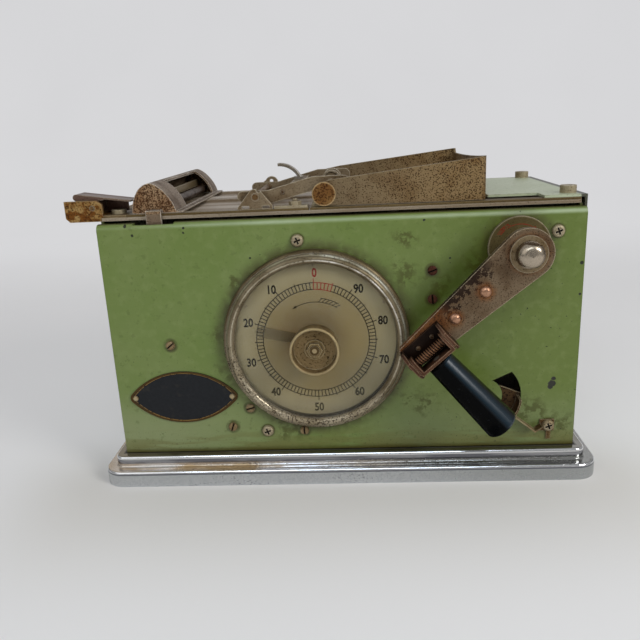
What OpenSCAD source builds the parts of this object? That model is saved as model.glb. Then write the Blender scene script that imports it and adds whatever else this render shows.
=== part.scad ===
// Hand-cranked ticket inspection machine: sheet steel case on a plated base,
// ticket track and hopper on top, counting dial and folding crank in front.
// Millimetres, +Z up, origin at the centre of the base underside, front towards -Y.

/* [Case] */
// Width of the case
case_w = 300; // [270:1:330]
// Depth of the case, front face to rear face
case_d = 150; // [146:1:170]
// Height of the front panel up to its bent top flange
panel_h = 156; // [142:0.5:170]
// Thickness of the case sheet
sheet_t = 1.5; // [1:0.1:2]
// Outer radius of the bend at the top of the panel
bend_r = 4; // [2.5:0.1:6]
// Depth of the top flange of the panel
flange_d = 6; // [5.8:0.1:6.6]
// Depth of the side returns of the panels
return_d = 12; // [6:0.5:18]

/* [Base] */
// Height of the base moulding
base_h = 18.6; // [17:0.1:24]
// How far the base stands out beyond the case
base_over = 14; // [13:0.1:16]
// How far the upper step of the base stands out
base_step = 6.8; // [5:0.1:8]
// Height of the upper step of the base
base_step_h = 5.6; // [4:0.1:6]
// Radius of the rounded edges of the base
base_edge_r = 1.7; // [1:0.1:2.2]
// Width of base hidden under the case
base_in = 8; // [6:0.5:12]
// Thickness of the bottom plate
bottom_t = 3; // [2:0.1:5]

/* [Deck] */
// Gap between the panel flange and the deck
deck_gap = 1.4; // [0.8:0.1:2]
// Thickness of the deck plate
deck_t = 2; // [1.5:0.1:3]
// Thickness of the rails on the deck
rail_t = 1.6; // [1.2:0.1:2.4]
// Width of the front rail
rail_w = 8; // [7:0.5:10]
// Gap between the front face of the case and the deck edge
deck_in = 7; // [6.8:0.1:8]
// Distance of the joint between the two front rails from the crank shaft
split_back = 127; // [126.6:0.1:127.4]
// Width of the ticket track between the front and middle rails
track_w = 63; // [60:0.5:66]
// Width of the middle rail
middle_rail_w = 24; // [16:0.5:30]
// Thickness of the top cover sheet
cover_t = 1.6; // [1:0.1:2]
// Gap between the hopper and the top cover
cover_gap = 3.4; // [2:0.1:8]
// Depth of the corner step in the top cover
cover_step = 15.5; // [8:0.5:24]
// Width of the front tab beside the corner step
cover_tab = 24; // [18:0.5:30]
// Radius of the heads of the cover screws
cover_screw_r = 5; // [3.5:0.1:6]

/* [Exit] */
// Length of the exit bracket beyond the deck
exit_len = 23; // [22:0.5:26]
// Depth of the exit bracket from the front of the deck
exit_depth = 21; // [19:0.5:24]
// Height of the ears of the exit bracket above the rails
exit_ear_h = 9.5; // [8.5:0.1:11]
// Thickness of the ears
exit_ear_t = 2; // [1.5:0.1:3]
// Radius of the exit pin
exit_pin_r = 1.6; // [1.2:0.1:2]
// Thickness of the thumb end of the exit flap
flap_t = 4.2; // [3:0.1:5]
// Radius of the stop post
post_r = 4.7; // [3.5:0.1:5.2]
// Height of the stop post
post_h = 4.2; // [2:0.1:4.6]

/* [Hood] */
// Distance of the middle of the hood from the left end of the deck
hood_in = 33.7; // [33:0.1:35]
// Width of the hood along the track
hood_w = 28; // [26:0.1:30]
// Height of the hood above the rails
hood_h = 18.8; // [17:0.1:22]
// Distance of the ridge of the hood from its left foot
hood_ridge = 12.7; // [11:0.1:14]
// Wall of the hood
hood_t = 1.6; // [1.2:0.1:2.2]
// Depth of the closed front band of the hood
hood_front = 27; // [15:0.5:40]
// Depth of the closed rear band of the hood
hood_rear = 18; // [10:0.5:30]
// Sliding travel of the hood to each side
hood_travel = 6; // [4:0.5:6.5]
// Width of the tongue below the hood
tongue_w = 9.8; // [8:0.1:11]
// Radius of the hood roller
hood_roller_r = 3; // [2.4:0.1:3.4]

/* [Presser] */
// Distance of the presser pin from the crank shaft
presser_back = 160.3; // [159.5:0.1:161]
// Height of the presser pin above the rails
presser_h = 7.6; // [7.2:0.1:8.4]
// Radius of the presser pin
presser_pin_r = 2.2; // [1.6:0.1:2.6]
// Length of the presser arms from the pin to the bend
arm_reach = 38; // [36:0.1:39]
// Length of the presser arms beyond the bend
arm_tail = 22; // [18:0.5:26]
// Height of a presser arm
arm_h = 8.4; // [7.4:0.1:9]
// Distance by which the arms run below the pin
arm_drop = 2.8; // [2.4:0.1:3]
// Distance from the pin to the round back end of the arms
arm_back = 8.6; // [7:0.1:9]
// Thickness of a presser arm
arm_t = 1.6; // [1.2:0.1:2]
// Slope of the presser arms
arm_slope = 14.5; // [13:0.1:16]
// Radius of the presser rollers
press_roller_r = 6; // [4:0.1:7]
// Width of a presser roller
press_roller_w = 5; // [3:0.1:8]
// Radius of the lift finger
finger_r = 15; // [13:0.1:16]
// Width of the lift finger
finger_w = 8; // [5:0.5:12]

/* [Hopper] */
// Distance of the hopper pivot from the crank shaft
hopper_back = 117.7; // [117.2:0.1:118.2]
// Length of the hopper from its pivot to its end wall
hopper_len = 99.3; // [88:0.1:112]
// Height of the hopper walls at the pivot
hopper_low = 16.6; // [15:0.1:18]
// Height of the hopper walls at the end
hopper_high = 26.4; // [24:0.1:32]
// Thickness of the hopper walls
hopper_t = 1.4; // [1:0.1:1.8]
// Depth of the dip in the end wall
hopper_dip = 3.4; // [1:0.1:6]
// Radius of the heads of the hopper studs
stud_head_r = 7.3; // [6:0.1:7.5]
// Radius of the shanks of the hopper studs
stud_r = 3; // [2:0.1:4]

/* [Dial] */
// Distance of the middle of the dial from the crank shaft
dial_back = 126.2; // [124:0.1:128]
// Height of the middle of the dial as a share of the panel height
dial_up = 0.494; // [0.488:0.002:0.5]
// Outer radius of the bezel as a share of the panel height
bezel_share = 0.382; // [0.37:0.002:0.384]
// Width of the bezel ring
bezel_w = 8.1; // [6:0.1:10]
// Height of the bezel
bezel_h = 9; // [8.5:0.1:12]
// Thickness of the dial plate
dial_t = 1.2; // [0.8:0.1:2]
// Thickness of the dial glass
glass_t = 1.5; // [1:0.1:2]
// Radius of the reset knob
knob_r = 15.4; // [12:0.1:18]
// Distance of the knob rim from the panel
knob_out = 24; // [20:0.5:28]
// Radius of the counter shaft
counter_r = 3; // [2.5:0.1:4]

/* [Crank] */
// Distance of the crank shaft from the right side of the case
crank_in = 40; // [38:0.1:41]
// Distance of the crank shaft below the top of the panel
crank_down = 22.8; // [22:0.1:24]
// Radius of the crank shaft
crank_r = 5; // [4:0.1:6]
// Radius of the bearing flange
flange_r = 19; // [16:0.1:19.5]
// Thickness of the bearing flange
flange_t = 2.5; // [1.5:0.1:4]
// Distance of the back of the crank arm from the panel
arm_out = 20; // [17:0.5:24]
// Thickness of the crank arm
crank_arm_t = 4; // [3:0.1:5]
// Radius of the large end of the crank arm
crank_big_r = 15; // [13:0.1:16]
// Half width of the handle end of the crank arm
crank_end_w = 8.2; // [7:0.1:10]
// Length of the crank arm from the shaft to its end
crank_len = 94.5; // [90:0.5:100]
// Angle of the crank arm below the horizontal
crank_angle = 42; // [38:0.5:46]

/* [Handle] */
// Radius of the hinge pin
hinge_r = 1.5; // [1.3:0.1:2]
// Height of the hinge pin above the front of the arm
hinge_out = 7; // [6.4:0.1:9]
// Place of the hinge pin across the arm
hinge_side = 2.8; // [1:0.1:3.4]
// Gap between the ears of the hinge bracket
ear_gap = 25.5; // [24:0.1:28]
// Thickness of the hinge sheet
hinge_t = 2; // [1.5:0.1:2.4]
// Radius of the hinged end of the grip
grip_small_r = 8.4; // [7.5:0.1:9.5]
// Radius of the free end of the grip
grip_large_r = 10.5; // [8.5:0.1:11]
// Length of the grip
grip_len = 58; // [45:0.5:70]
// Radius of the grip spindle
spindle_r = 3; // [2:0.1:4]
// Wire diameter of the hinge spring
spring_wire = 0.8; // [0.7:0.1:1]
// Number of turns of the hinge spring
spring_turns = 12; // [6:1:12]

/* [Lever] */
// Distance of the lever pivot from the right side of the case
lever_in = 58; // [56:0.1:60]
// Height of the lever pivot above the bottom edge of the panel
lever_z = 35.8; // [35:0.1:38]
// Inner radius of the lever slot
slot_in_r = 11; // [9.5:0.1:12]
// Outer radius of the lever slot
slot_out_r = 23; // [21:0.1:24]
// Upper end of the lever slot, in degrees above the horizontal
slot_top = 58; // [50:1:64]
// Lower end of the lever slot, in degrees below the horizontal
slot_bottom = 60; // [52:1:70]
// Radius of the lever pivot
lever_pivot_r = 2.5; // [2:0.1:3]
// Thickness of the lever sheet
lever_t = 1.4; // [1:0.1:2]

/* [Nameplate] */
// Distance of the nameplate from the left side of the case
plate_side = 6.6; // [6:0.1:12]
// Distance of the tip of the nameplate from the middle of the dial
plate_clear = 52.5; // [52:0.1:60]
// Height of the nameplate above the bottom edge of the panel
plate_z = 40.2; // [36:0.1:46]
// Height of the pointed oval nameplate as a share of its length
plate_shape = 0.483; // [0.4:0.005:0.5]
// Thickness of the nameplate
plate_t = 1; // [0.6:0.1:1.5]

/* [Gears] */
// Module of the crank, idler and feed gears
gear_m = 1.4; // [1.38:0.01:1.42]
// Thickness of the gears
gear_t = 5; // [3:0.1:5.5]
// Radius of the feed roller
feed_r = 18; // [17:0.1:19]
// Length of the feed roller
feed_len = 56; // [40:0.5:60]
// Distance of the feed roller from the crank shaft
feed_back = 105; // [104:0.1:106]
// How far the feed roller stands above the deck
feed_proud = 0.5; // [0.2:0.1:0.8]
// Thickness of the frame plates
frame_t = 3; // [2:0.1:4]

/* [Screws] */
// Distance of the right cross-slot screws from the side of the case
screw_side = 17; // [16:0.1:18]
// Distance of the upper cross-slot screws above the bezel
screw_over = 5.4; // [5:0.1:7]
// Height of the lower cross-slot screws above the bottom edge of the panel
screw_low = 14.5; // [13:0.1:15]
// How far the upper left cross-slot screw is to the left of the dial
screw_upper = 8.8; // [7:0.1:10]
// How far the lower left cross-slot screw is to the left of the dial
screw_lower = 35.3; // [35:0.1:38]
// Radius of the cross-slot screw heads
pan_r = 3.85; // [3:0.1:4.5]
// Radius of the threads of the cross-slot screws
pan_thread_r = 2; // [1.5:0.1:2.2]
// Radius of the single-slot screw heads
slot_head_r = 3; // [2.4:0.1:3.6]
// Radius of the threads of the single-slot screws
slot_thread_r = 1.5; // [1:0.1:2]

/* [Hidden] */
$fn = 48;
// Running clearance of shafts in bushes, and clearance of parts held together
run_fit = 0.05;
hold_fit = 0.02;
// Clearance between pieces that pass each other
pass_gap = 0.3;

// Colours of the finishes
green_paint = "#7d9a58";
nickel = "#9a9286";
chrome_plate = "#c9ccd0";
steel = "#837b70";
dark_steel = "#5c5048";
brass = "#b8935a";

// Faces and levels that everything else is set from
front_y = -case_d / 2;
rear_y = case_d / 2;
case_z = base_h;
deck_z = case_z + panel_h + deck_gap;
deck_top = deck_z + deck_t;
rail_top = deck_top + rail_t;
inner_x = case_w / 2 - 2 * sheet_t;
deck_side = 2;
deck_x = case_w / 2 - deck_side;
hood_x = -deck_x + hood_in;
hood_left = hood_x - hood_w / 2;
crank_x = case_w / 2 - crank_in;
crank_z = panel_h - crank_down;
lever_x = case_w / 2 - lever_in;
deck_front = front_y + deck_in;
deck_rear = rear_y - deck_in;

// The track, the dial and the train keep their places from the crank shaft
rail_split_x = crank_x - split_back;
presser_x = crank_x - presser_back;
hopper_x = crank_x - hopper_back;
feed_x = crank_x - feed_back;
dial_x = crank_x - dial_back;
dial_z = panel_h * dial_up;
bezel_r = panel_h * bezel_share;
cover_x = hopper_x + hopper_len + cover_gap;

// The nameplate fills the room between the left side and the dial
plate_left = -case_w / 2 + plate_side;
plate_right = dial_x - plate_clear;
plate_x = (plate_left + plate_right) / 2;
plate_len = plate_right - plate_left;
plate_h = plate_len * plate_shape;

// Depths of the layers behind the front panel, and of the rear frame plate
counter_in = 6;
train_in = 13.5;
frame_in = 25;
rear_in = 30;
layer_counter = front_y + counter_in;
layer_train = front_y + train_in;
layer_frame = front_y + frame_in;
layer_rear = rear_y - rear_in;
// How far the ends of the shafts stand out behind their frame plate
shaft_end = 1;

// Places of the cross-slot screws: the pillars behind the panel line up with them
pan_right = case_w / 2 - screw_side;
pan_high = dial_z + bezel_r + screw_over;
pan_screws = [
    [dial_x - screw_upper, pan_high], [pan_right, pan_high],
    [dial_x - screw_lower, screw_low], [pan_right, screw_low]];
// Slotted screws: a pair beside the crank, and four round the dial placed in bezel radii
crank_pair = [[-52.2, -12.9], [-52.2, -31.2]];
dial_round = [[-1.597, -0.012], [-0.772, -0.77], [-0.987, -0.995], [-0.18, -1.054]];
slot_screws = concat(
    [for (p = crank_pair) p + [crank_x, crank_z]],
    [for (p = dial_round) p * bezel_r + [dial_x, dial_z]]);
pillar_r = 4.5;
pan_len = 9;
slot_len = 3.4;

// Gear train: crank pinion, transfer gear, idler, feed gear, and idler pinion with counter wheel
crank_teeth = 16;
transfer_teeth = 24;
idler_teeth = 80;
pinion_teeth = 24;
counter_teeth = 72;
tooth_add = 0.8;
tooth_ded = 1.15;
tooth_root = 0.36;
tooth_tip = 0.1;
feed_z = panel_h + deck_gap + deck_t + feed_proud - feed_r;
crank_at = [crank_x, crank_z];
feed_at = [feed_x, feed_z];
dial_at = [dial_x, dial_z];
train_r = gear_m * (crank_teeth + idler_teeth) / 2;
half_span = norm(feed_at - crank_at) / 2;
span_dir = (feed_at - crank_at) / norm(feed_at - crank_at);
idler_at = (crank_at + feed_at) / 2
    + sqrt(train_r * train_r - half_span * half_span) * [-span_dir[1], span_dir[0]] * -span_sign();
// The transfer gear is in mesh with the idler and with the crank pinion, below the line that joins them
transfer_r = gear_m * (transfer_teeth + idler_teeth) / 2;
transfer_gap = gear_m * (transfer_teeth + crank_teeth) / 2;
transfer_swing = acos((train_r * train_r + transfer_r * transfer_r - transfer_gap * transfer_gap)
    / (2 * train_r * transfer_r));
transfer_at = idler_at + polar(transfer_r, bearing_of(idler_at, crank_at) - transfer_swing);
counter_m = 2 * norm(dial_at - idler_at) / (pinion_teeth + counter_teeth);
transfer_turn = mesh_turn(idler_at, idler_teeth, 0, transfer_at, transfer_teeth);
crank_turn = mesh_turn(transfer_at, transfer_teeth, transfer_turn, crank_at, crank_teeth);
feed_turn = mesh_turn(idler_at, idler_teeth, 0, feed_at, crank_teeth);
counter_turn = mesh_turn(idler_at, pinion_teeth, 0, dial_at, counter_teeth);
idler_shaft_r = 4;
feed_shaft_r = 4;

// Keeps the idler below the line from the crank to the feed roller
function span_sign() = crank_x > feed_x ? -1 : 1;

// Direction in degrees from one point to another
function bearing_of(a, b) = atan2(b[1] - a[1], b[0] - a[0]);

// Turn of a second wheel so that its gap meets the tooth of the first
function mesh_turn(a, n_a, turn_a, b, n_b) =
    let (dir = bearing_of(a, b), lead = (dir - turn_a) / (360 / n_a))
    dir + 180 + (lead + 0.5) * 360 / n_b;

function polar(r, a) = [r * cos(a), r * sin(a)];

function arc(c, r, a0, a1, n) = [for (i = [0:n]) c + polar(r, a0 + (a1 - a0) * i / n)];

// Corners of one tooth: height from the pitch line in modules, place in tooth pitches
tooth = [
    [-tooth_ded, -tooth_root], [tooth_add, -tooth_tip],
    [tooth_add, tooth_tip], [-tooth_ded, tooth_root]];

function gear_outline(n, m) =
    [for (i = [0:n - 1])
        for (p = tooth)
            polar(n * m / 2 + p[0] * m, (i + p[1]) * 360 / n)];

// Places children on the front panel: x across, y up, z out towards the viewer
module on_front(x, z, out = 0) {
    translate([x, front_y - out, case_z + z]) rotate([90, 0, 0]) children();
}

// The same on the rear panel, seen from behind
module on_rear(x, z, out = 0) {
    translate([x, rear_y + out, case_z + z]) rotate([90, 0, 180]) children();
}

// Runs an outline of x and height along the depth from y0
module along_depth(y0, len) {
    translate([0, y0 + len, 0]) rotate([90, 0, 0]) linear_extrude(len) children();
}

// Runs an outline of depth and height along the width from x0
module along_width(x0, len) {
    translate([x0, 0, 0]) rotate([90, 0, 90]) linear_extrude(len) children();
}

module rod_y(x, y0, z, r, len) {
    translate([x, y0, z]) rotate([-90, 0, 0]) cylinder(r = r, h = len);
}

module gear(n, m, t, bore_r) {
    difference() {
        linear_extrude(t) polygon(gear_outline(n, m));
        translate([0, 0, -1]) cylinder(r = bore_r, h = t + 2);
    }
}

// Base

plate_over = 4;

// Outer side of the moulding in reach and height: step, cove, rounded foot edge
function base_outer() = concat(
    [[base_step - base_edge_r, base_h]],
    arc([base_step - base_edge_r, base_h - base_edge_r], base_edge_r, 75, 0, 5),
    arc([base_step + base_edge_r, base_h - base_step_h - base_edge_r * 0.2], base_edge_r, 180, 270, 5),
    arc([base_over - base_edge_r, base_h - base_step_h - base_edge_r * 2.2], base_edge_r, 90, 0, 6),
    [[base_over, 0], [plate_over + pass_gap, 0], [plate_over + pass_gap, bottom_t]]);

module base_moulding() color(chrome_plate) for (side = [0:3]) {
    run = side % 2 == 0 ? case_w : case_d;
    reach = side % 2 == 0 ? case_d / 2 : case_w / 2;
    rotate([0, 0, side * 90]) translate([-run / 2, reach, 0]) rotate([90, 0, 90]) linear_extrude(run)
        polygon(concat([[-base_in, bottom_t], [-base_in, base_h]], base_outer()));
    rotate([0, 0, side * 90]) translate([run / 2, reach, 0]) rotate_extrude(angle = 90)
        polygon(concat([[0, bottom_t], [0, base_h]], base_outer()));
}

module bottom_plate() color(dark_steel)
    translate([-case_w / 2 - plate_over, -case_d / 2, 0]) cube([case_w + 2 * plate_over, case_d, bottom_t]);

// Case

// Outline of a panel in depth and height, with its rounded top bend and flange
function panel_outline() = concat(
    [[0, 0]],
    arc([bend_r, panel_h - bend_r], bend_r, 180, 90, 8),
    [[flange_d, panel_h], [flange_d, panel_h - sheet_t]],
    arc([bend_r, panel_h - bend_r], bend_r - sheet_t, 90, 180, 8),
    [[sheet_t, 0]]);

module panel_sheet() {
    along_width(-case_w / 2, case_w) translate([front_y, case_z]) polygon(panel_outline());
    for (s = [-1, 1])
        translate([s * (case_w - sheet_t) / 2 - sheet_t / 2, front_y, case_z])
            cube([sheet_t, return_d, panel_h - bend_r]);
}

// Outline of the curved lever slot, its upper end cut on the slant
function slot_outline() = concat(
    arc([0, 0], slot_out_r, -slot_bottom, slot_top - 14, 20),
    arc([0, 0], slot_in_r, slot_top + 10, -slot_bottom, 16));

notch_w = tongue_w + 2 * hood_travel + 4;

module front_panel() color(green_paint) difference() {
    panel_sheet();
    on_front(dial_x, dial_z, -sheet_t - 1) cylinder(r = counter_r + 4, h = sheet_t + 2);
    on_front(crank_x, crank_z, -sheet_t - 1) cylinder(r = flange_neck_r + hold_fit, h = sheet_t + 2);
    on_front(lever_x, lever_z, -sheet_t - 1) linear_extrude(sheet_t + 2) polygon(slot_outline());
    on_front(lever_x, lever_z, -sheet_t - 1) cylinder(r = lever_pivot_r + hold_fit, h = sheet_t + 2);
    for (p = pan_screws)
        on_front(p[0], p[1], -sheet_t - 1) cylinder(r = pan_thread_r + hold_fit, h = sheet_t + 2);
    for (p = slot_screws)
        on_front(p[0], p[1], -sheet_t - 1) cylinder(r = slot_thread_r + hold_fit, h = sheet_t + 2);
    for (s = [-1, 1])
        on_front(plate_x + s * plate_pin_x, plate_z, -sheet_t - 1)
            cylinder(r = plate_pin_r + hold_fit, h = sheet_t + 2);
    translate([hood_x - notch_w / 2, front_y + sheet_t, case_z + panel_h - bend_r])
        cube([notch_w, flange_d, bend_r + 1]);
}

module rear_panel() color(green_paint) difference() {
    rotate([0, 0, 180]) panel_sheet();
    for (p = pan_screws)
        on_rear(-p[0], p[1], -sheet_t - 1) cylinder(r = pan_thread_r + hold_fit, h = sheet_t + 2);
}

module side_panels() color(green_paint) {
    for (s = [-1, 1]) {
        x = s * (case_w / 2 - 1.5 * sheet_t) - sheet_t / 2;
        translate([x, front_y + sheet_t, case_z])
            cube([sheet_t, case_d - 2 * sheet_t, panel_h - bend_r]);
        translate([x, front_y + flange_d + pass_gap, case_z])
            cube([sheet_t, case_d - 2 * flange_d - 2 * pass_gap, deck_z - case_z]);
    }
}

// Frame inside the case

module frame_plate(y) {
    translate([-inner_x, y, case_z]) cube([2 * inner_x, frame_t, deck_z - case_z]);
}

module frame_bore(at, r, len) {
    rod_y(at[0], front_y, case_z + at[1], r + run_fit, len);
}

// Two plates and four pillars welded up as one frame, with the shaft bores and the screw holes
module inner_frame() color(steel) difference() {
    union() {
        frame_plate(layer_frame);
        frame_plate(layer_rear);
        for (p = pan_screws)
            rod_y(p[0], front_y + sheet_t, case_z + p[1], pillar_r, case_d - 2 * sheet_t);
    }
    frame_bore(crank_at, crank_r, frame_in + 2 * frame_t);
    frame_bore(transfer_at, idler_shaft_r, frame_in + 2 * frame_t);
    frame_bore(idler_at, idler_shaft_r, frame_in + 2 * frame_t);
    frame_bore(dial_at, counter_r, frame_in + 2 * frame_t);
    frame_bore(feed_at, feed_shaft_r, case_d);
    for (p = pan_screws) {
        on_front(p[0], p[1], -sheet_t - pan_len) cylinder(r = pan_thread_r + hold_fit, h = pan_len + 1);
        on_rear(-p[0], p[1], -sheet_t - pan_len) cylinder(r = pan_thread_r + hold_fit, h = pan_len + 1);
    }
}

// Deck, rails and cover

middle_rail_y = deck_front + rail_w + track_w;
feed_gap = 1;
feed_y = layer_frame + frame_t + 3;
feed_drop = feed_r - feed_proud - deck_t;
feed_slot_w = 2 * sqrt(feed_r * feed_r - feed_drop * feed_drop) + 2 * feed_gap;
exit_lap = 16;
rail_left = -deck_x + exit_lap;
rail_joint = 1;
far_rail_w = 7;
far_rail_end = 12;
cover_lip = 9;
cover_edge = 0.5;
cover_front = deck_front + cover_edge;
cover_rear = deck_rear - cover_edge;
cover_right = case_w / 2 + pass_gap + sheet_t;
cover_screw_h = 4.6;
cover_thread_r = 2;
cover_screw_x = case_w / 2 - 6.6;
cover_screw_y = [front_y + 19, rear_y - 13];
slot_w = 1.2;
slot_deep = 1.4;

module deck_plate() color(nickel) difference() {
    translate([-deck_x, deck_front, deck_z]) cube([2 * deck_x, deck_rear - deck_front, deck_t]);
    translate([feed_x - feed_slot_w / 2, feed_y - feed_gap, deck_z - 1])
        cube([feed_slot_w, feed_len + 2 * feed_gap, deck_t + 2]);
    for (y = cover_screw_y)
        translate([cover_screw_x, y, deck_z - 1]) cylinder(r = cover_thread_r + hold_fit, h = deck_t + 2);
}

module rail(x0, x1, y, w) {
    translate([x0, y, deck_top]) cube([x1 - x0, w, rail_t]);
}

module front_rails() color(nickel) {
    rail(rail_left, rail_split_x - rail_joint / 2, deck_front, rail_w);
    rail(rail_split_x + rail_joint / 2, deck_x, deck_front, rail_w);
}

module rear_rails() color(nickel) {
    rail(rail_left, rail_split_x, middle_rail_y, middle_rail_w);
    rail(rail_left, deck_x - far_rail_end, deck_rear - far_rail_w, far_rail_w);
}

// Cover sheet on the rails, with a lip down the right side and a stepped front corner
module top_cover() color(green_paint) difference() {
    union() {
        translate([cover_x, cover_front, rail_top])
            cube([cover_right - cover_x, cover_rear - cover_front, cover_t]);
        translate([cover_right - sheet_t, cover_front, rail_top - cover_lip])
            cube([sheet_t, cover_rear - cover_front, cover_lip]);
    }
    translate([cover_x - 1, cover_front - 1, rail_top - 1])
        cube([case_w / 2 - cover_tab - cover_x + 1, cover_step + 1, cover_t + 2]);
    for (y = cover_screw_y)
        translate([cover_screw_x, y, rail_top - 1]) cylinder(r = cover_thread_r + hold_fit, h = cover_t + 2);
}

gauge_t = 1.5;
gauge_nut_r = 4;
gauge_nut_h = 2.6;
gauge_stud_r = 1.5;
gauge_stud_h = 4;
gauge_nut_in = 9;
post_in = 8.2;
post_y = deck_front + 10;

// Turned studs on the deck: two cheese-head cover screws, the stop post and the gauge nut
module deck_studs() color(nickel) {
    for (y = cover_screw_y) {
        translate([cover_screw_x, y, rail_top + cover_t]) difference() {
            cylinder(r = cover_screw_r, h = cover_screw_h);
            translate([-cover_screw_r, -slot_w / 2, cover_screw_h - slot_deep])
                cube([2 * cover_screw_r, slot_w, slot_deep + 1]);
        }
        translate([cover_screw_x, y, deck_z]) cylinder(r = cover_thread_r, h = rail_top + cover_t - deck_z);
    }
    translate([-deck_x + post_in, post_y, rail_top]) cylinder(r = post_r, h = post_h - rail_t);
    translate([rail_split_x - gauge_nut_in, deck_front + (rail_w + cover_edge) / 2, rail_top + gauge_t]) {
        cylinder(r = gauge_nut_r, h = gauge_nut_h, $fn = 6);
        cylinder(r = gauge_stud_r, h = gauge_stud_h);
    }
}

// Exit end

exit_pin_out = 5.2;
exit_pin_up = 4.9;
exit_pin_x = -deck_x - exit_pin_out;
exit_pin_z = rail_top + exit_pin_up;
exit_pin_end = 0.6;
exit_left = -deck_x - exit_len;
exit_chamfer = 2.5;

// Side outline of an ear, hooked over the end of the deck
function exit_ear() = [
    [exit_left + exit_chamfer, deck_z], [-deck_x - pass_gap, deck_z], [-deck_x - pass_gap, deck_top],
    [-deck_x + 1, deck_top], [-deck_x + 1, rail_top + exit_ear_h - exit_chamfer],
    [-deck_x - exit_chamfer, rail_top + exit_ear_h], [exit_left, rail_top + exit_ear_h],
    [exit_left, deck_z + exit_chamfer]];

module exit_bracket() color(nickel) difference() {
    union() {
        translate([-deck_x, deck_front, deck_top])
            cube([exit_lap - pass_gap, deck_rear - deck_front, rail_t]);
        translate([exit_left + 1, deck_front, deck_top]) cube([exit_len, exit_depth, rail_t]);
        for (y = [deck_front, deck_front + exit_depth - exit_ear_t])
            along_depth(y, exit_ear_t) polygon(exit_ear());
    }
    rod_y(exit_pin_x, front_y, exit_pin_z, exit_pin_r + hold_fit, case_d);
}

module exit_pin() color(dark_steel)
    rod_y(exit_pin_x, deck_front - exit_pin_end, exit_pin_z, exit_pin_r, exit_depth + 2 * exit_pin_end);

flap_gap = 1;
flap_left = exit_left + 5;
flap_right = hood_left - 1.2;
flap_step = exit_pin_x + 6.4;
flap_barrel_r = exit_pin_r + 1.7;
flap_top = rail_top + 13.6;
flap_fall = 4.9;
flap_sheet = 1;
flap_y = deck_front + exit_ear_t + flap_gap;
flap_len = exit_depth - 2 * exit_ear_t - 2 * flap_gap;
skirt_z = rail_top + flap_gap;
skirt_right = flap_right - 6;

// Height of the top of the flap, which falls from its thumb end to the hood
function flap_at(x) = flap_top - flap_fall * (x - flap_left) / (flap_right - flap_left);

// Side outline of the flap: a round thumb end, a step to thin sheet, and a lug down to the pin
function flap_outline() = concat(
    arc([flap_left + flap_t / 2, flap_top - flap_t / 2], flap_t / 2, 270, 90, 8),
    [[flap_right, flap_at(flap_right)], [flap_right, flap_at(flap_right) - flap_sheet],
        [flap_step, flap_at(flap_step) - flap_sheet], [flap_step, flap_top - flap_t],
        [exit_pin_x + flap_barrel_r, flap_top - flap_t], [exit_pin_x + flap_barrel_r, exit_pin_z],
        [exit_pin_x - flap_barrel_r, exit_pin_z], [exit_pin_x - flap_barrel_r, flap_top - flap_t]]);

// The skirt behind the flap hangs down from its far edge and keeps tickets off the pin
function skirt_outline() = [
    [exit_pin_x, skirt_z], [skirt_right, skirt_z], [skirt_right, flap_at(skirt_right) - flap_sheet / 2],
    [exit_pin_x, flap_top - flap_t / 2]];

module exit_flap() color(steel) difference() {
    union() {
        along_depth(flap_y, flap_len) polygon(flap_outline());
        along_depth(flap_y + flap_len - flap_sheet, flap_sheet) polygon(skirt_outline());
        rod_y(exit_pin_x, flap_y, exit_pin_z, flap_barrel_r, flap_len);
    }
    rod_y(exit_pin_x, front_y, exit_pin_z, exit_pin_r + run_fit, case_d);
}

// Hood

hood_y = deck_front + 1;
hood_len = deck_rear - deck_front - 2;
hood_lift = 0.1;
hood_cap = 2.2;
hood_open = hood_len - hood_front - hood_rear;
hood_sill = 1.3;
hood_foot = 4;
hood_foot_t = 0.9;
ridge_x = hood_left + hood_ridge;
window_in = 1.6;
tongue_in = 4.6;
tongue_t = 1.8;
tongue_neck = 2;
tongue_z = case_z + panel_h - bend_r + 1;
// Power of the curve of the right side: 1 is an ellipse, more is straighter
slope_power = 1.33;
hood_steps = 12;

// Profile of the hood: a round left side, the ridge, and a straighter slope to the right
function hood_outline(inset) = let (tall = hood_h - hood_lift - inset, step = 90 / hood_steps) concat(
    [for (i = [0:hood_steps])
        [ridge_x - (hood_ridge - inset) * cos(i * step), rail_top + hood_lift + tall * sin(i * step)]],
    [for (i = [1:hood_steps])
        [ridge_x + (hood_w - hood_ridge - inset) * pow(sin(i * step), slope_power),
            rail_top + hood_lift + tall * pow(cos(i * step), slope_power)]]);

hood_bar_x = ridge_x + 0.6;
hood_bar_z = rail_top + 8.8;
hood_bar_t = 2;
hood_bar_h = 5;
hood_axle_r = 1.5;
hood_roller_x = hood_x + 4.6;
hood_roller_z = rail_top + hood_roller_r + 1;

module hood() color(nickel) {
    difference() {
        along_depth(hood_y, hood_len) polygon(hood_outline(0));
        along_depth(hood_y + hood_cap, hood_len - 2 * hood_cap)
            polygon(concat(hood_outline(hood_t), [[hood_left + hood_w - hood_t, rail_top - 1],
                [hood_left + hood_t, rail_top - 1]]));
        translate([ridge_x + window_in, hood_y + hood_front, rail_top + hood_sill])
            cube([hood_w, hood_open, hood_h]);
        rod_y(hood_roller_x, hood_y + hood_cap / 2, hood_roller_z, hood_axle_r + run_fit,
            hood_len - hood_cap);
        along_depth(hood_y + hood_cap / 2, hood_len - hood_cap) hood_bar_section(hold_fit);
    }
    translate([hood_left + hood_w - hood_t, hood_y, rail_top + hood_lift])
        cube([hood_t + hood_foot, hood_len, hood_foot_t]);
    translate([hood_x - tongue_w / 2, front_y + tongue_in, tongue_z])
        cube([tongue_w, tongue_t, rail_top + hood_lift - tongue_z]);
    translate([hood_x - tongue_w / 2, front_y + tongue_in, rail_top + hood_lift])
        cube([tongue_w, hood_y + hood_cap - front_y - tongue_in, tongue_neck]);
}

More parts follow.
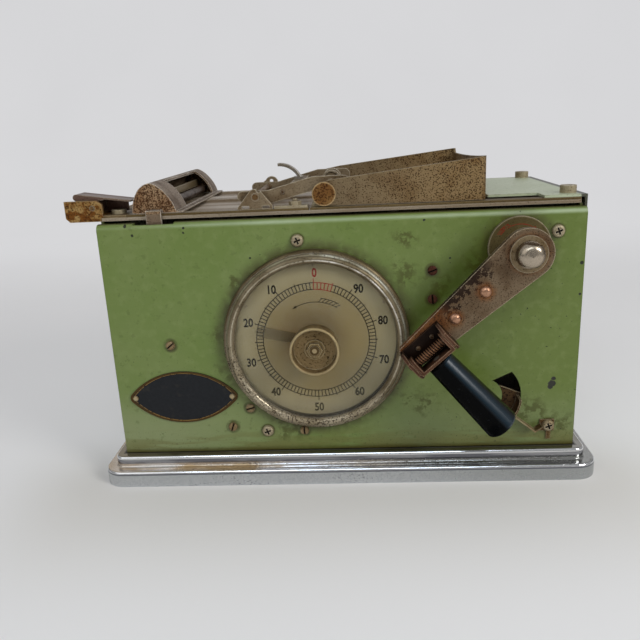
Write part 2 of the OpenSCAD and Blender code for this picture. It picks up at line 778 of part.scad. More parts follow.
module hood_bar_section(room) {
    translate([hood_bar_x - hood_bar_t / 2 - room, hood_bar_z - hood_bar_h / 2 - room])
        square([hood_bar_t + 2 * room, hood_bar_h + 2 * room]);
}

module hood_bar() color(steel)
    along_depth(hood_y + hood_cap / 2 + hold_fit, hood_len - hood_cap - 2 * hold_fit) hood_bar_section(0);

module hood_roller() color(dark_steel) {
    rod_y(hood_roller_x, hood_y + hood_cap / 2 + run_fit, hood_roller_z, hood_axle_r,
        hood_len - hood_cap - 2 * run_fit);
    rod_y(hood_roller_x, hood_y + hood_front, hood_roller_z, hood_roller_r, hood_open);
}

// Presser frame

presser_z = rail_top + presser_h;
hopper_y = deck_front + 2;
hopper_y1 = deck_rear - 2;
lug_t = 1.6;
ear_y = deck_front + 1;
ear_t = 2;
press_front = hopper_y + hopper_t + lug_t + 2 * pass_gap + 0.5;
rear_ear_y = middle_rail_y + 2;
press_rear = rear_ear_y - pass_gap - arm_t;
ear_half = 11.5;
ear_rise = 5;
spring_lug_r = 4.6;
spring_lug = [presser_x + 2.2, presser_z + 2.6];
spring_eye_r = 1.3;
pin_end = 0.4;
ear_slot_x = 6.4;
ear_slot_w = 4.6;
ear_slot_z = 0.7;
ear_slot_h = 1.5;

function ear_outline() = concat(
    [[presser_x - ear_half, rail_top]],
    [[presser_x + ear_half - 1, rail_top], [presser_x + ear_half - 1, rail_top + 2.4]],
    arc([presser_x, presser_z], ear_rise, 50, 130, 8),
    [[presser_x - ear_half, rail_top + 1.4]]);

module presser_ears() color(nickel) difference() {
    union() {
        along_depth(ear_y, ear_t) polygon(ear_outline());
        along_depth(rear_ear_y, ear_t) {
            polygon(ear_outline());
            translate(spring_lug) circle(r = spring_lug_r);
        }
    }
    rod_y(presser_x, front_y, presser_z, presser_pin_r + hold_fit, case_d);
    rod_y(spring_lug[0], front_y, spring_lug[1] + spring_eye_r, spring_eye_r, case_d);
    for (s = [-1, 1])
        translate([presser_x + s * ear_slot_x - ear_slot_w / 2, front_y, rail_top + ear_slot_z])
            cube([ear_slot_w, case_d, ear_slot_h]);
}

module presser_pin() color(dark_steel)
    rod_y(presser_x, ear_y - pin_end, presser_z, presser_pin_r, rear_ear_y + ear_t + 2 * pin_end - ear_y);

arm_back_r = 3.4;

// Outline of one arm: a round back end, a level stretch over the pin, a rising run and a level tail
function arm_outline() = let (eye = [presser_x, presser_z], low = eye - [0, arm_drop],
        bend = low + polar(arm_reach, arm_slope), side = polar(arm_h / 2, arm_slope + 90),
        run = (arm_drop + arm_back_r - side[1]) / sin(arm_slope))
    concat(
        arc(eye - [arm_back, 0], arm_back_r, 90, 270, 10),
        [low - side, bend - side],
        arc(bend + [arm_tail - arm_h / 2, 0], arm_h / 2, -90, 90, 8),
        [bend + side, low + side + polar(run, arm_slope)]);

finger_at = [presser_x + 12, presser_z + 2];
finger_t = 1.8;
finger_low = 24;
finger_high = 92;
axle_on = 10;
strap_x = finger_at[0] + finger_r * cos(finger_low);
strap_z = finger_at[1] + finger_r * sin(finger_low);
axle_at = [presser_x, presser_z - arm_drop] + polar(arm_reach, arm_slope) + [axle_on, 0];
axle_r = 2;
strap_half = 4;
strap_t = 1.6;
strap_y = press_rear + arm_t - press_front;
axle_end = 0.3;
press_roller_at = [0.3, 0.62];
press_rim = 1;

module presser_frame() color(nickel) difference() {
    union() {
        for (y = [press_front, press_rear])
            along_depth(y, arm_t) polygon(arm_outline());
        translate([strap_x - strap_half, press_front, strap_z - finger_t / 2 - strap_t])
            cube([2 * strap_half, strap_y, strap_t]);
    }
    rod_y(presser_x, front_y, presser_z, presser_pin_r + run_fit, case_d);
    rod_y(axle_at[0], front_y, axle_at[1], axle_r + hold_fit, case_d);
}

module lift_finger() color(nickel) translate([0, (press_front + press_rear - finger_w) / 2, 0]) {
    along_depth(0, finger_w) polygon(concat(
        arc(finger_at, finger_r + finger_t / 2, finger_low, finger_high, 12),
        arc(finger_at, finger_r - finger_t / 2, finger_high, finger_low, 12)));
    translate([strap_x - strap_half, 0, strap_z - finger_t / 2])
        cube([strap_half + finger_t, finger_w, finger_t]);
}

module presser_axle() color(steel)
    rod_y(axle_at[0], press_front - axle_end, axle_at[1], axle_r, strap_y + 2 * axle_end);

// Two rollers on the axle, each with a dished front face
module presser_rollers() color(nickel) for (f = press_roller_at)
    translate([axle_at[0], press_front + f * (press_rear - press_front), axle_at[1]])
        rotate([-90, 0, 0]) difference() {
            cylinder(r = press_roller_r, h = press_roller_w);
            translate([0, 0, -1]) cylinder(r = axle_r + run_fit, h = press_roller_w + 2);
            translate([0, 0, -1]) cylinder(r = press_roller_r - press_rim, h = press_rim + 1);
        }

gauge_x0 = presser_x + ear_half;
gauge_slot = 4.5;

module gauge_plate() color(nickel) difference() {
    translate([gauge_x0, deck_front + cover_edge, rail_top])
        cube([rail_split_x - rail_joint - gauge_x0, rail_w - cover_edge, gauge_t]);
    translate([gauge_x0 + gauge_slot, deck_front + 2, rail_top - 1]) cube([gauge_slot, 2, gauge_t + 2]);
}

// Hopper

stud_up = 7.8;
stud_z = rail_top + stud_up;
hopper_z = rail_top + pass_gap;
hopper_end = hopper_x + hopper_len;
hopper_round = 4;
stud_head_t = 1.8;
eye_r = stud_z - hopper_z;
lug_half = 8.3;
lug_r = 5.5;
dip_flat = 3;
dip_short_r = 5;
dip_low = hopper_y1 - dip_flat - dip_short_r;
dip_run = dip_low - hopper_y - hopper_round;
dip_long_r = (dip_run * dip_run + hopper_dip * hopper_dip) / (2 * hopper_dip);
dip_swing = asin(dip_run / dip_long_r);

// Plan of the hopper: two side walls and an end wall, open at the ticket end
module hopper_plan() {
    difference() {
        union() {
            translate([hopper_x - eye_r, hopper_y])
                square([hopper_len + eye_r - hopper_round, hopper_y1 - hopper_y]);
            translate([hopper_end - 2 * hopper_round, hopper_y + hopper_round])
                square([2 * hopper_round, hopper_y1 - hopper_y - 2 * hopper_round]);
            for (y = [hopper_y + hopper_round, hopper_y1 - hopper_round])
                translate([hopper_end - hopper_round, y]) circle(r = hopper_round);
        }
        translate([hopper_x - eye_r - 1, hopper_y + hopper_t])
            square([hopper_len + eye_r + 1 - hopper_round, hopper_y1 - hopper_y - 2 * hopper_t]);
        translate([hopper_x, hopper_y + hopper_round])
            square([hopper_len - hopper_t, hopper_y1 - hopper_y - 2 * hopper_round]);
        for (y = [hopper_y + hopper_round, hopper_y1 - hopper_round])
            translate([hopper_end - hopper_round, y]) circle(r = hopper_round - hopper_t);
    }
}

// Side outline of the hopper walls: round at the pivot, rising to the end
function wall_outline() = concat(
    arc([hopper_x, stud_z], eye_r, 270, 110, 20),
    [[hopper_x + eye_r, rail_top + hopper_low], [hopper_end, rail_top + hopper_high],
        [hopper_end, hopper_z]]);

module hopper() color(nickel) difference() {
    intersection() {
        translate([0, 0, hopper_z]) linear_extrude(hopper_high) hopper_plan();
        along_depth(front_y, case_d) polygon(wall_outline());
    }
    along_width(hopper_end - hopper_t - 1, hopper_t + 2)
        translate([0, rail_top + hopper_high - hopper_dip]) polygon(concat(
            arc([dip_low, dip_long_r], dip_long_r, 270 - dip_swing, 270, 10),
            arc([dip_low, dip_short_r], dip_short_r, 270, 360, 8)));
    rod_y(hopper_x, front_y, stud_z, stud_r + run_fit, case_d);
}

// Lugs on the deck that carry the hopper studs, just inside the walls
module hopper_lugs() color(nickel)
    for (y = [hopper_y + hopper_t + pass_gap, hopper_y1 - hopper_t - pass_gap - lug_t])
        difference() {
            along_depth(y, lug_t) polygon(concat(
                [[hopper_x - lug_half, rail_top], [hopper_x + lug_half, rail_top]],
                arc([hopper_x, stud_z], lug_r, 0, 180, 12)));
            rod_y(hopper_x, front_y, stud_z, stud_r + hold_fit, case_d);
        }

module hopper_studs() color(steel) {
    rod_y(hopper_x, hopper_y - pass_gap - stud_head_t, stud_z, stud_head_r, stud_head_t);
    rod_y(hopper_x, hopper_y - pass_gap, stud_z, stud_r, hopper_t + 2 * pass_gap + lug_t);
    rod_y(hopper_x, hopper_y1 + pass_gap, stud_z, stud_head_r, stud_head_t);
    rod_y(hopper_x, hopper_y1 - hopper_t - lug_t - pass_gap, stud_z, stud_r, hopper_t + 2 * pass_gap + lug_t);
}

// Dial

glass_out = bezel_h - 2.4 - glass_t;
bezel_seat_r = bezel_r - bezel_w + 1.7;
hand_out = dial_t + 1.2;
hand_t = 0.8;
hub_r = counter_r + 1.6;
knob_back = bezel_h + 1;

function bezel_section() = concat(
    [[bezel_seat_r, 0], [bezel_r, 0], [bezel_r, 2.6]],
    arc([bezel_r - 2.4, 2.6], 2.4, 0, 80, 6),
    arc([bezel_r - bezel_w + 2.6, bezel_h - 2.6], 2.6, 40, 180, 10),
    [[bezel_r - bezel_w, bezel_h - 2.4], [bezel_seat_r, bezel_h - 2.4]]);

module dial_bezel() color(nickel) on_front(dial_x, dial_z) {
    rotate_extrude($fn = 96) polygon(bezel_section());
    translate([0, bezel_r - 3.4, 3]) cylinder(r = 1.6, h = 3);
}

module dial_plate() color("#b9b48c") on_front(dial_x, dial_z) difference() {
    cylinder(r = bezel_seat_r - run_fit, h = dial_t, $fn = 96);
    translate([0, 0, -1]) cylinder(r = hub_r + 1, h = dial_t + 2);
}

module dial_glass() color("#dfe8e4", 0.35) on_front(dial_x, dial_z, glass_out) difference() {
    cylinder(r = bezel_seat_r - run_fit, h = glass_t, $fn = 96);
    translate([0, 0, -1]) cylinder(r = hub_r + 0.5, h = glass_t + 2);
}

hand_len = 39;
hand_half = 3.7;
hand_root = 3;
hand_tip = 3;
hand_angle = 168;

// Pointer and its sleeve, which turns on the counter shaft by friction
module dial_hand() color("#4a3a2a") on_front(dial_x, dial_z, hand_out) difference() {
    union() {
        cylinder(r = hub_r + 1.5, h = hand_t);
        rotate([0, 0, hand_angle]) linear_extrude(hand_t)
            polygon([[0, -hand_root], [hand_len - hand_tip, -hand_half], [hand_len, -hand_half + hand_tip],
                     [hand_len, hand_half - hand_tip], [hand_len - hand_tip, hand_half], [0, hand_root]]);
        cylinder(r = hub_r, h = knob_back - hand_out);
    }
    translate([0, 0, -1]) cylinder(r = counter_r + run_fit, h = knob_back);
}

knob_face = 6;
nut_gap = 0.1;
knob_nut_h = 2.6;
knob_nut_rim = 0.8;
shaft_stub = 3.6;
wheel_t = gear_t - 1;
wheel_hub = 8;
wheel_hub_r = counter_r + 3;

module reset_knob() color(steel) on_front(dial_x, dial_z, knob_back) difference() {
    rotate_extrude($fn = 72) polygon(concat(
        [[counter_r + run_fit, 0], [knob_r - 3, 0], [knob_r - 1, 2]],
        arc([knob_r - 1, knob_out - knob_back - 1], 1, 0, 180, 8),
        [[knob_r - 2.4, knob_out - knob_back - knob_face + 1], [knob_r - 5, knob_out - knob_back - knob_face],
            [counter_r + run_fit, knob_out - knob_back - knob_face]]));
    for (i = [0:35])
        rotate([0, 0, i * 10]) translate([knob_r + 0.35, 0, 2]) cylinder(r = 0.7, h = 9, $fn = 16);
}

module knob_nut() color(brass) on_front(dial_x, dial_z, knob_out - knob_face + nut_gap) difference() {
    union() {
        cylinder(r = counter_r + 2, h = knob_nut_h, $fn = 6);
        cylinder(r = counter_r + 3.4, h = knob_nut_rim);
    }
    translate([0, 0, -1]) cylinder(r = counter_r + run_fit, h = knob_nut_h + 2);
}

module counter_shaft() color(steel) on_front(dial_x, dial_z, -frame_in - frame_t - shaft_end)
    cylinder(r = counter_r, h = knob_out - knob_face + shaft_stub + frame_in + frame_t + shaft_end);

module counter_wheel() color(brass) on_front(dial_x, dial_z, -counter_in - wheel_t) {
    rotate([0, 0, counter_turn]) gear(counter_teeth, counter_m, wheel_t, counter_r + hold_fit);
    translate([0, 0, -wheel_hub]) difference() {
        cylinder(r = wheel_hub_r, h = wheel_hub);
        translate([0, 0, -1]) cylinder(r = counter_r + hold_fit, h = wheel_hub + 2);
    }
}

// Gear train

idler_hub = 4;

module idler_wheel() color(brass) on_front(idler_at[0], idler_at[1], -train_in - gear_t) {
    gear(idler_teeth, gear_m, gear_t, idler_shaft_r + hold_fit);
    translate([0, 0, -idler_hub]) difference() {
        cylinder(r = idler_shaft_r + 4, h = idler_hub);
        translate([0, 0, -1]) cylinder(r = idler_shaft_r + hold_fit, h = idler_hub + 2);
    }
}

// Small pinion cut on the front end of the idler shaft
module idler_pinion() color(steel) on_front(idler_at[0], idler_at[1]) {
    translate([0, 0, -counter_in - gear_t]) linear_extrude(gear_t)
        polygon(gear_outline(pinion_teeth, counter_m));
    translate([0, 0, -frame_in - frame_t - shaft_end])
        cylinder(r = idler_shaft_r, h = frame_in + frame_t + shaft_end - counter_in - gear_t);
}

module crank_pinion() color(steel) on_front(crank_x, crank_z, -counter_in - gear_t)
    rotate([0, 0, crank_turn]) gear(crank_teeth, gear_m, gear_t, crank_r + hold_fit);

// Long gear on its own shaft that joins the crank pinion in front to the idler behind it
module transfer_gear() color(steel) on_front(transfer_at[0], transfer_at[1]) {
    translate([0, 0, -train_in - gear_t]) rotate([0, 0, transfer_turn])
        linear_extrude(train_in + gear_t - counter_in) polygon(gear_outline(transfer_teeth, gear_m));
    translate([0, 0, -frame_in - frame_t - shaft_end])
        cylinder(r = idler_shaft_r, h = frame_in + frame_t + shaft_end - train_in - gear_t);
}

module feed_gear() color(steel) on_front(feed_x, feed_z, -train_in - gear_t)
    rotate([0, 0, feed_turn]) gear(crank_teeth, gear_m, gear_t, feed_shaft_r + hold_fit);

module feed_roller() color(dark_steel) {
    rod_y(feed_x, layer_train - shaft_end, case_z + feed_z, feed_shaft_r,
        layer_rear + frame_t + 2 * shaft_end - layer_train);
    rod_y(feed_x, feed_y, case_z + feed_z, feed_r, feed_len);
}

// Crank

flange_neck_r = crank_r + 3;
arm_front = arm_out + crank_arm_t;
collar_r = 8;
washer_r = 11;
washer_t = 1.5;
nut_r = 8;
nut_h = 8.5;
nut_flat = 6.3;
nut_turn = -8;
nut_round = 5;
nut_collar = 1.2;
nut_crown = 0.6;
collar_gap = 0.2;

module bearing_flange() color(nickel) on_front(crank_x, crank_z) difference() {
    union() {
        cylinder(r = flange_r, h = flange_t, $fn = 72);
        translate([0, 0, -sheet_t - 2]) cylinder(r = flange_neck_r, h = sheet_t + 2);
    }
    translate([0, 0, -10]) cylinder(r = crank_r + run_fit, h = 20);
}

module crank_shaft() color(steel) on_front(crank_x, crank_z) {
    translate([0, 0, -frame_in - frame_t - shaft_end])
        cylinder(r = crank_r, h = arm_front + frame_in + frame_t + shaft_end);
    translate([0, 0, flange_t + collar_gap]) cylinder(r = collar_r, h = arm_out - flange_t - collar_gap);
    translate([0, 0, arm_front]) cylinder(r = crank_r - 1, h = washer_t + nut_h - 3);
}

// Frame of the crank arm: x along the arm, y towards the grip side, z out
module on_arm(out = 0) {
    on_front(crank_x, crank_z, out) rotate([0, 0, 180 + crank_angle]) children();
}

function arm_plan() = concat(
    arc([0, 0], crank_big_r, 86, 274, 36),
    [[crank_len - 2, -crank_end_w - 0.3], [crank_len, -crank_end_w + 1.7], [crank_len, crank_end_w - 1.7],
        [crank_len - 2, crank_end_w + 0.3]]);

arm_rivet_places = [32.3, 56];
rivet_r = 2;
rivet_head_r = 3.4;

module crank_arm() color(steel) on_arm(arm_out) difference() {
    linear_extrude(crank_arm_t) polygon(arm_plan());
    translate([0, 0, -1]) cylinder(r = crank_r + hold_fit, h = crank_arm_t + 2);
    for (s = arm_rivet_places)
        translate([s, 0, -1]) cylinder(r = rivet_r + hold_fit, h = crank_arm_t + 2);
}

module crank_washer() color(steel) on_arm(arm_front) difference() {
    cylinder(r = washer_r, h = washer_t);
    translate([0, 0, -1]) cylinder(r = crank_r - 1 + hold_fit, h = washer_t + 2);
}

// Domed nut with two flats
module crank_nut() color(chrome_plate) on_front(crank_x, crank_z, arm_front + washer_t)
    rotate([0, 0, nut_turn]) difference() {
        rotate_extrude() polygon(concat(
            [[0, 0], [nut_r, 0], [nut_r, nut_h - nut_round]],
            arc([nut_r - nut_round, nut_h - nut_round], nut_round, 0, 90, 8),
            [[0, nut_h + nut_crown]]));
        for (s = [0, 180])
            rotate([0, 0, s]) translate([-nut_r, nut_flat, nut_collar]) cube([2 * nut_r, nut_r, nut_h]);
        translate([0, 0, -1]) cylinder(r = crank_r - 1 + hold_fit, h = nut_h - 2);
    }

module arm_rivets() color("#a9714f") on_arm() for (s = arm_rivet_places) translate([s, 0, 0]) {
    translate([0, 0, arm_out - 1]) cylinder(r = rivet_head_r, h = 1);
    translate([0, 0, arm_out]) cylinder(r = rivet_r, h = crank_arm_t);
    translate([0, 0, arm_front]) rotate_extrude()
        polygon(concat([[0, 0]], [for (i = [0:6]) [rivet_head_r * cos(i * 15), 2.2 * sin(i * 15)]]));
}

// Handle hinge

hinge_x1 = crank_len - 0.5;
hinge_x0 = hinge_x1 - ear_gap - 2 * hinge_t;
hinge_mid = (hinge_x0 + hinge_x1) / 2;
hinge_z = arm_front + hinge_out;
ear_back = -6.8;
ear_front = 12.4;
ear_top = 5;
hinge_base_t = 1.2;
hinge_end = 1.2;
yoke_w = ear_gap - 2 * pass_gap;
yoke_reach = 7.6;
yoke_half = 5.2;
cheek_t = hinge_t;
spindle_neck_r = spindle_r - 1;
grip_round = 2.4;

// Outline of an ear across the arm and out from it
function hinge_ear() = [
    [ear_back, 0], [ear_front - 3, 0], [ear_front, 3], [ear_front, hinge_out + ear_top - 4],
    [ear_front - 4, hinge_out + ear_top], [hinge_side - 4, hinge_out + ear_top], [ear_back, hinge_out - 1]];

module hinge_bracket() color(dark_steel) on_arm(arm_front) difference() {
    union() {
        translate([hinge_x0, ear_back, 0]) cube([hinge_x1 - hinge_x0, crank_end_w - ear_back, hinge_base_t]);
        for (x = [hinge_x0, hinge_x1 - hinge_t])
            translate([x, 0, 0]) rotate([90, 0, 90]) linear_extrude(hinge_t) polygon(hinge_ear());
    }
    translate([hinge_x0 - 1, hinge_side, hinge_out]) rotate([0, 90, 0])
        cylinder(r = hinge_r + hold_fit, h = hinge_x1 - hinge_x0 + 2);
}

module hinge_pin() color(dark_steel) on_arm(hinge_z)
    translate([hinge_x0 - hinge_end, hinge_side, 0]) rotate([0, 90, 0])
        cylinder(r = hinge_r, h = hinge_x1 - hinge_x0 + 2 * hinge_end);

// Channel that swings on the hinge pin and carries the grip spindle
module handle_yoke() color(dark_steel) on_arm(hinge_z) translate([hinge_mid, hinge_side, 0]) difference() {
    union() {
        for (s = [-1, 1])
            translate([s * (yoke_w - cheek_t) / 2 - cheek_t / 2, 0, 0]) {
                rotate([0, 90, 0]) cylinder(r = yoke_half, h = cheek_t);
                translate([0, 0, -yoke_half]) cube([cheek_t, yoke_reach, 2 * yoke_half]);
            }
        translate([-yoke_w / 2, yoke_reach - cheek_t, -yoke_half]) cube([yoke_w, cheek_t, 2 * yoke_half]);
    }
    translate([-yoke_w, 0, 0]) rotate([0, 90, 0]) cylinder(r = hinge_r + run_fit, h = 2 * yoke_w);
    rotate([-90, 0, 0]) cylinder(r = spindle_neck_r + hold_fit, h = yoke_reach + 1);
}

spring_fit = 0.4;
spring_r = hinge_r + spring_fit + spring_wire / 2;
spring_len = yoke_w - 2 * cheek_t - spring_wire - 2 * hold_fit;
spring_ring = 6;
spring_steps = 10;

// Centre line of the hinge spring, a plain helix round the pin
function spring_at(i) = let (turn = i / spring_steps)
    concat([-spring_len / 2 + spring_len * turn / spring_turns], polar(spring_r, 360 * turn));

function spring_tangent(i) = let (d = spring_at(i + 0.5) - spring_at(i - 0.5)) d / norm(d);

function spring_points(last) = [for (i = [0:last])
    let (c = spring_at(i), t = spring_tangent(i), out = [0, c[1], c[2]] / spring_r, side = cross(t, out))
        for (k = [0:spring_ring - 1])
            c + spring_wire / 2 * (cos(60 * k) * out + sin(60 * k) * side)];

function spring_faces(last) = concat(
    [for (i = [0:last - 1])
        for (k = [0:spring_ring - 1])
            let (a = i * spring_ring + k, b = i * spring_ring + (k + 1) % spring_ring)
                each [[a, b, a + spring_ring], [b, b + spring_ring, a + spring_ring]]],
    [for (k = [1:spring_ring - 2]) [0, k + 1, k]],
    [for (k = [1:spring_ring - 2]) let (e = last * spring_ring) [e, e + k, e + k + 1]]);

spring_last = spring_turns * spring_steps;
// Least gap between one turn of the spring and the next
spring_gap = min([for (i = [0:spring_last - spring_steps])
    norm(spring_at(i + spring_steps) - spring_at(i))]) - spring_wire;
echo(spring_gap = spring_gap);

module hinge_spring() color(dark_steel) on_arm(hinge_z) translate([hinge_mid, hinge_side, 0])
    polyhedron(spring_points(spring_last), spring_faces(spring_last));

grip_start = hinge_side + yoke_reach + pass_gap;
grip_bore = grip_len - 6;

module grip_spindle() color(steel) on_arm(hinge_z)
    translate([hinge_mid, hinge_side + yoke_reach - cheek_t, 0]) rotate([-90, 0, 0]) {
        cylinder(r = spindle_neck_r, h = cheek_t);
        translate([0, 0, cheek_t]) cylinder(r = spindle_r, h = grip_bore - 2);
    }

module grip() color("#1d2023") on_arm(hinge_z)
    translate([hinge_mid, grip_start, 0]) rotate([-90, 0, 0]) difference() {
        rotate_extrude($fn = 64) polygon(concat(
            [[0, 0], [grip_small_r - 1, 0], [grip_small_r, 1]],
            arc([grip_large_r - grip_round, grip_len - grip_round], grip_round, 2, 90, 8),
            [[0, grip_len + 0.8]]));
        translate([0, 0, -1]) cylinder(r = spindle_r + run_fit, h = grip_bore + 1);
    }

// Lever and catch

lever_back = sheet_t + 0.5;
lever_hub_r = 6;
lever_rim_r = slot_out_r + 4;
leaf_out = 7;
leaf_low = -33;
leaf_span = 31;
leaf_r = slot_out_r - 1 - lever_t;
pivot_head_r = 4.2;
pivot_head_t = 1.4;
pivot_play = 0.3;

// Sector behind the panel, with a curved leaf that stands out through the slot
module quadrant_lever() color(nickel) on_front(lever_x, lever_z) difference() {
    union() {
        translate([0, 0, -lever_back - lever_t]) linear_extrude(lever_t) polygon(concat(
            arc([0, 0], lever_hub_r, 100, 250, 12),
            arc([0, 0], lever_rim_r, leaf_low - 24, leaf_low + leaf_span, 12),
            [polar(slot_in_r + 1, leaf_low + 2 * leaf_span)]));
        rotate([0, 0, leaf_low]) rotate_extrude(angle = leaf_span)
            translate([leaf_r, -lever_back - lever_t]) square([lever_t, lever_back + lever_t + leaf_out]);
    }
    translate([0, 0, -10]) cylinder(r = lever_pivot_r + run_fit, h = 20);
}

module lever_pivot() color(steel) on_front(lever_x, lever_z) {
    back = lever_back + lever_t + pivot_play;
    cylinder(r = pivot_head_r, h = pivot_head_t);
    translate([0, 0, -back]) cylinder(r = lever_pivot_r, h = back);
    translate([0, 0, -back - pivot_head_t]) cylinder(r = pivot_head_r, h = pivot_head_t);
}

catch_t = 0.8;
catch_w = 6;
catch_screw = pan_screws[3];
catch_foot = 5.5;
catch_path = [catch_screw + [-22, 7.6], catch_screw + [-9.4, -2.4], catch_screw + [-catch_foot + 0.5, 0.6]];

// One straight run of the bent strip, standing on edge out from the panel
module catch_run(a, b) {
    translate(a) rotate(bearing_of(a, b)) translate([-catch_t / 2, -catch_t / 2])
        square([norm(b - a) + catch_t, catch_t]);
}

module catch_strip() color(nickel) on_front(0, 0) difference() {
    union() {
        translate([0, 0, pass_gap]) linear_extrude(catch_w) {
            catch_run(catch_path[0], catch_path[1]);
            catch_run(catch_path[1], catch_path[2]);
        }
        translate([catch_screw[0] - catch_foot, catch_screw[1] - 4, 0]) cube([catch_foot + 4, 8, catch_t]);
        translate([catch_screw[0] - 1, catch_screw[1] - 10, 0]) cube([3, 8, catch_t]);
    }
    translate([catch_screw[0], catch_screw[1], -1]) cylinder(r = pan_thread_r + hold_fit, h = 3);
}

// Screws and nameplate

module pan_head(out) {
    translate([0, 0, out]) difference() {
        rotate_extrude() polygon(concat([[0, 0], [pan_r, 0]],
            arc([pan_r - 1.6, 0.8], 1.6, 0, 75, 6), [[0, 2.6]]));
        for (a = [0, 90])
            rotate([0, 0, a + 20]) translate([-2.2, -0.55, 1]) cube([4.4, 1.1, 3]);
    }
    translate([0, 0, -pan_len + 1]) cylinder(r = pan_thread_r, h = out + pan_len - 1);
}

module panel_screws() color(nickel) {
    for (p = pan_screws) {
        on_front(p[0], p[1]) pan_head(p == catch_screw ? catch_t : 0);
        on_rear(-p[0], p[1]) pan_head(0);
    }
}

slot_turns = [20, 95, 40, 15, 70, 92];

module slotted_screws() color(dark_steel) for (i = [0:len(slot_screws) - 1])
    on_front(slot_screws[i][0], slot_screws[i][1]) {
        difference() {
            rotate_extrude() polygon(concat([[0, 0], [slot_head_r, 0], [slot_head_r, 0.6]],
                arc([slot_head_r - 0.8, 0.8], 0.8, 0, 90, 5), [[0, 1.7]]));
            rotate([0, 0, slot_turns[i]]) translate([-slot_head_r - 1, -0.4, 0.8])
                cube([2 * slot_head_r + 2, 0.8, 2]);
        }
        translate([0, 0, -slot_len]) cylinder(r = slot_thread_r, h = slot_len);
    }

plate_pin_x = plate_len / 2 - 5;
plate_pin_r = 1;
plate_tip_r = 4;
// Radius of the two arcs that make the pointed oval
plate_arc_r = (plate_len * plate_len + plate_h * plate_h) / (4 * plate_h);

// Two long arcs that meet in round tips, all drawn in by the inset
function oval_outline(inset) = let (r = plate_arc_r - inset, drop = plate_arc_r - plate_h / 2,
        tip_x = sqrt(pow(r - plate_tip_r, 2) - drop * drop), turn = atan2(drop, tip_x))
    concat(
        arc([0, -drop], r, 180 - turn, turn, 24),
        arc([tip_x, 0], plate_tip_r, turn * 3 / 4, -turn * 3 / 4, 6),
        arc([0, drop], r, -turn, turn - 180, 24),
        arc([-tip_x, 0], plate_tip_r, 180 + turn * 3 / 4, 180 - turn * 3 / 4, 6));

module nameplate() color("#23211f") on_front(plate_x, plate_z) difference() {
    linear_extrude(plate_t) polygon(oval_outline(0));
    translate([0, 0, plate_t - 0.3]) linear_extrude(1) polygon(oval_outline(1.4));
    for (s = [-1, 1])
        translate([s * plate_pin_x, 0, -1]) cylinder(r = plate_pin_r + hold_fit, h = plate_t + 2);
}

module nameplate_pins() color(brass) for (s = [-1, 1]) on_front(plate_x + s * plate_pin_x, plate_z) {
    translate([0, 0, -sheet_t]) cylinder(r = plate_pin_r, h = sheet_t + plate_t);
    translate([0, 0, plate_t - 0.3]) cylinder(r = plate_pin_r + 0.7, h = 0.9);
}

base_moulding();
bottom_plate();
front_panel();
rear_panel();
side_panels();
inner_frame();
deck_plate();
front_rails();
rear_rails();
top_cover();
deck_studs();
exit_bracket();
exit_pin();
exit_flap();
hood();
hood_bar();
hood_roller();
presser_ears();
presser_pin();
presser_frame();
lift_finger();
presser_axle();
presser_rollers();
gauge_plate();
hopper();
hopper_lugs();
hopper_studs();
dial_bezel();
dial_plate();
dial_glass();
dial_hand();
reset_knob();
knob_nut();
counter_shaft();
counter_wheel();
idler_wheel();
idler_pinion();
crank_pinion();
transfer_gear();
feed_gear();
feed_roller();
bearing_flange();
crank_shaft();
crank_arm();
crank_washer();
crank_nut();
arm_rivets();
hinge_bracket();
hinge_pin();
handle_yoke();
hinge_spring();
grip_spindle();
grip();
quadrant_lever();
lever_pivot();
catch_strip();
panel_screws();
slotted_screws();
nameplate();
nameplate_pins();
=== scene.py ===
import math

import bmesh
import bpy
from mathutils import Matrix, Vector


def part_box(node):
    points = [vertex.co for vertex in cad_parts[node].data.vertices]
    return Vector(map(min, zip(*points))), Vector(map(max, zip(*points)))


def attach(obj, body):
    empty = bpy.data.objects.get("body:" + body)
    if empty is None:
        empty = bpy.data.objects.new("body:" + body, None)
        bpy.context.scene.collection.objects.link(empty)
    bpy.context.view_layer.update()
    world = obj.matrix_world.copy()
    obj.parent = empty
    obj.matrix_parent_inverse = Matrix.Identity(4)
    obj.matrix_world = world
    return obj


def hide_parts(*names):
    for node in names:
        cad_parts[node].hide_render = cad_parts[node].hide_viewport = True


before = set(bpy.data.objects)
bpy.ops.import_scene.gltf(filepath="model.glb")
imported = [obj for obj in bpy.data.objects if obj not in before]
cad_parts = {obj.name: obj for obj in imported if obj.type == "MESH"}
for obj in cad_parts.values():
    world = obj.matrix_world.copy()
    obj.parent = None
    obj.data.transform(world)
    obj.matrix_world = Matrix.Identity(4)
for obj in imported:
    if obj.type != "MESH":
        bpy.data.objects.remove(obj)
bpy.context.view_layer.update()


# Base: a stepped moulding of plated strip, mitred round all four sides of the case, over a dark
# steel bottom plate. The plating is bright on the beads, tan in the cove and pitted on the foot.
# Its top, its riser and the groove under the bead are painted in dark bands as painted reflections,
# and a painted shadow lies on its top along the foot of the panel.

